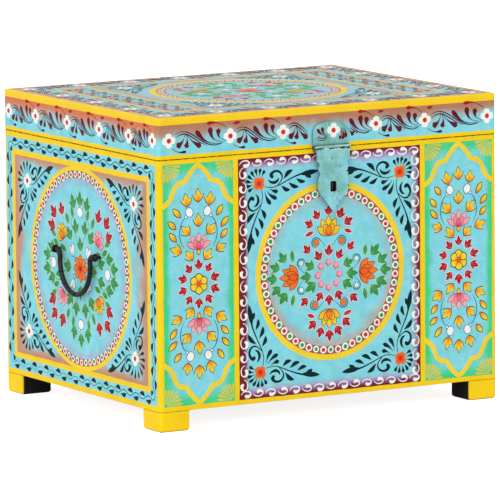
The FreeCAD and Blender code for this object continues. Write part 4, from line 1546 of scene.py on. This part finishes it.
def paintHaspPlate(material):
    # the lid's flower and scrolls carried over the hasp plate
    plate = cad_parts["hasp_plate"]
    corners = [plate.matrix_world @ vertex.co / mm for vertex in plate.data.vertices]
    plateFace = max(-corner.y for corner in corners if corner.z > railTop - 20)  # above its knuckles
    middle = (haspPlate[0].z + haspPlate[1].z) / 2 / mm + platePattern["rise"]
    face = PaintedFace("hasp_plate_painting", "lid", (0, -plateFace, middle), (1, 0, 0), (0, 0, 1), 25)
    quatrefoil(face, platePattern["flowerAt"], platePattern["flower"], whitePetal, tin["red"])
    for k, (a, b, c, d) in enumerate(platePattern["drops"]):
        comma(face, complex(a, b), complex(c, d), platePattern["dropWidth"], 0.1, tin["wine"], 0.2 * k)
    for shift in platePattern["lineShifts"]:
        path = [complex(a, b - shift) for a, b in platePattern["line"]]
        line(face, path, platePattern["lineWidth"], tin["plum"])
    face.build(material, "painted_hasp")


topSpray = {
    **sideSpray,
    "flower": 20.0,
    "drop": 13.0,
    "inner": 0.8,
    "armAcross": 60.0,
    "leanAcross": 0.15,
    "armUp": 60.0,
    "leanUp": 0.15,
    "place": (117.0, 116.0),
}


def paintTop(material):
    face = PaintedFace("lid_top_painting", "lid", (0, 0, lidTop), (1, 0, 0), (0, 1, 0), 26)
    inset = topLayout["border"] / 2 + topLayout["rowShift"]
    across, up = halfWidth - inset, halfDepth - inset
    band = topLayout["border"] / 2 - topLayout["rowClear"]
    longRow = [across * k / 3 for k in range(-3, 4)]
    shortRow = [up * k / 2 for k in range(-2, 3)]
    ends = (shortRow[0], shortRow[-1])
    for place, turn in ((-1j * up, 0), (1j * up, 180)):
        scrollRun(face, place, turn, longRow, band, across)
    for place, turn in ((across, 90), (-across, -90)):
        scrollRun(face, place, turn, shortRow, band, up, (0, 0), ends)
    bandMiddle = (bandOuter + bandInner) / 2
    count = topLayout["bandFlowers"]
    for side in (-1, 1):
        for way in (-1, 1):
            lane = side * bandMiddle + way * topLayout["lane"]
            end = 1j * (topFieldUp - topLayout["laneEnd"])
            straightVine(face, lane - end, lane + end)
        for k in range(count):
            v = (topFieldUp - topLayout["bandFlowerEnd"]) * (2 * k / (count - 1) - 1)
            quatrefoil(face, complex(side * bandMiddle, v), topLayout["bandFlower"], redLeaf, tin["amber"])
    beadRing(face, topLayout)
    fourSprays(face, topSpray)
    paintSideBouquet(face)
    face.build(material, "painted_board")


def paintBox():
    material = raisedPaint()
    paintFront(material)
    paintSide(material, "left_painting", -1, 12)
    paintSide(material, "right_painting", 1, 13)
    paintBack(material)
    paintSkirts(material)
    paintHaspPlate(material)
    paintTop(material)


paintBox()


# Floor, light and camera

studio = {
    "floor": seen(246, 246, 246),
    "floorReach": 40.0,
    "floorShine": 0.1,
    "floorRough": 0.9,
    "floorLift": 0.85,  # brings the floor up to white for the camera alone
    "sky": 0.55,
    "sun": 1.68,
    "sunAngle": 70.0,  # degrees, for a soft edge to the shadow
    "sunFrom": (-0.67, -0.57, 0.60),
}


def makeFloor():
    reach = studio["floorReach"]
    corners = [(-reach, -reach, 0), (reach, -reach, 0), (reach, reach, 0), (-reach, reach, 0)]
    mesh = bpy.data.meshes.new("studio_floor")
    mesh.from_pydata(corners, [], [(0, 1, 2, 3)])
    floor = bpy.data.objects.new("studio_floor", mesh)
    bpy.context.scene.collection.objects.link(floor)
    material, sockets, place = startFinish("studioFloor", studio["floorShine"])
    sockets["Base Color"].default_value = studio["floor"]
    sockets["Roughness"].default_value = studio["floorRough"]
    camera = place.node("LightPath", {}, "Is Camera Ray")
    feed(sockets["Emission Color"], camera.mix((0.0, 0.0, 0.0, 1.0), pureWhite))
    sockets["Emission Strength"].default_value = studio["floorLift"]
    mesh.materials.append(material)


def makeLight():
    scene = bpy.context.scene
    world = bpy.data.worlds.new("studioSky")
    scene.world = world
    world.use_nodes = True
    tree = world.node_tree
    rays = tree.nodes.new("ShaderNodeLightPath").outputs
    names = ("Is Camera Ray", "Is Glossy Ray", "Is Transmission Ray")
    camera, glossy, transmission = [Flow(tree, rays[name]) for name in names]
    background = tree.nodes["Background"]
    background.inputs["Color"].default_value = pureWhite
    shown = camera.most(glossy.most(transmission))
    feed(background.inputs["Strength"], shown.fade(0.0, 1.0, studio["sky"], 1.0))
    data = bpy.data.lights.new("softSun", "SUN")
    data.energy = studio["sun"]
    data.angle = math.radians(studio["sunAngle"])
    sun = bpy.data.objects.new("softSun", data)
    sun.rotation_euler = Vector(studio["sunFrom"]).to_track_quat("Z", "Y").to_euler()
    scene.collection.objects.link(sun)
    scene.view_settings.view_transform = "Standard"


photoCamera = {
    "place": (-4.277, -7.220, 1.364),
    "forward": (0.50480, 0.85202, -0.13868),
    "right": (0.85976, -0.51064, -0.00764),
    "lens": 472.5,
    "sensor": 36.0,
    "far": 200.0,
}


def makeCamera():
    data = bpy.data.cameras.new("photoCamera")
    data.lens = photoCamera["lens"]
    data.sensor_width = photoCamera["sensor"]
    data.clip_end = photoCamera["far"]
    forward = Vector(photoCamera["forward"]).normalized()
    right = Vector(photoCamera["right"]).normalized()
    up = right.cross(forward)
    camera = bpy.data.objects.new("photoCamera", data)
    turn = Matrix((right, up, -forward)).transposed()
    camera.matrix_world = Matrix.Translation(photoCamera["place"]) @ turn.to_4x4()
    bpy.context.scene.collection.objects.link(camera)
    bpy.context.scene.camera = camera


makeFloor()
makeLight()
makeCamera()
print("scene: floor, light and camera placed")
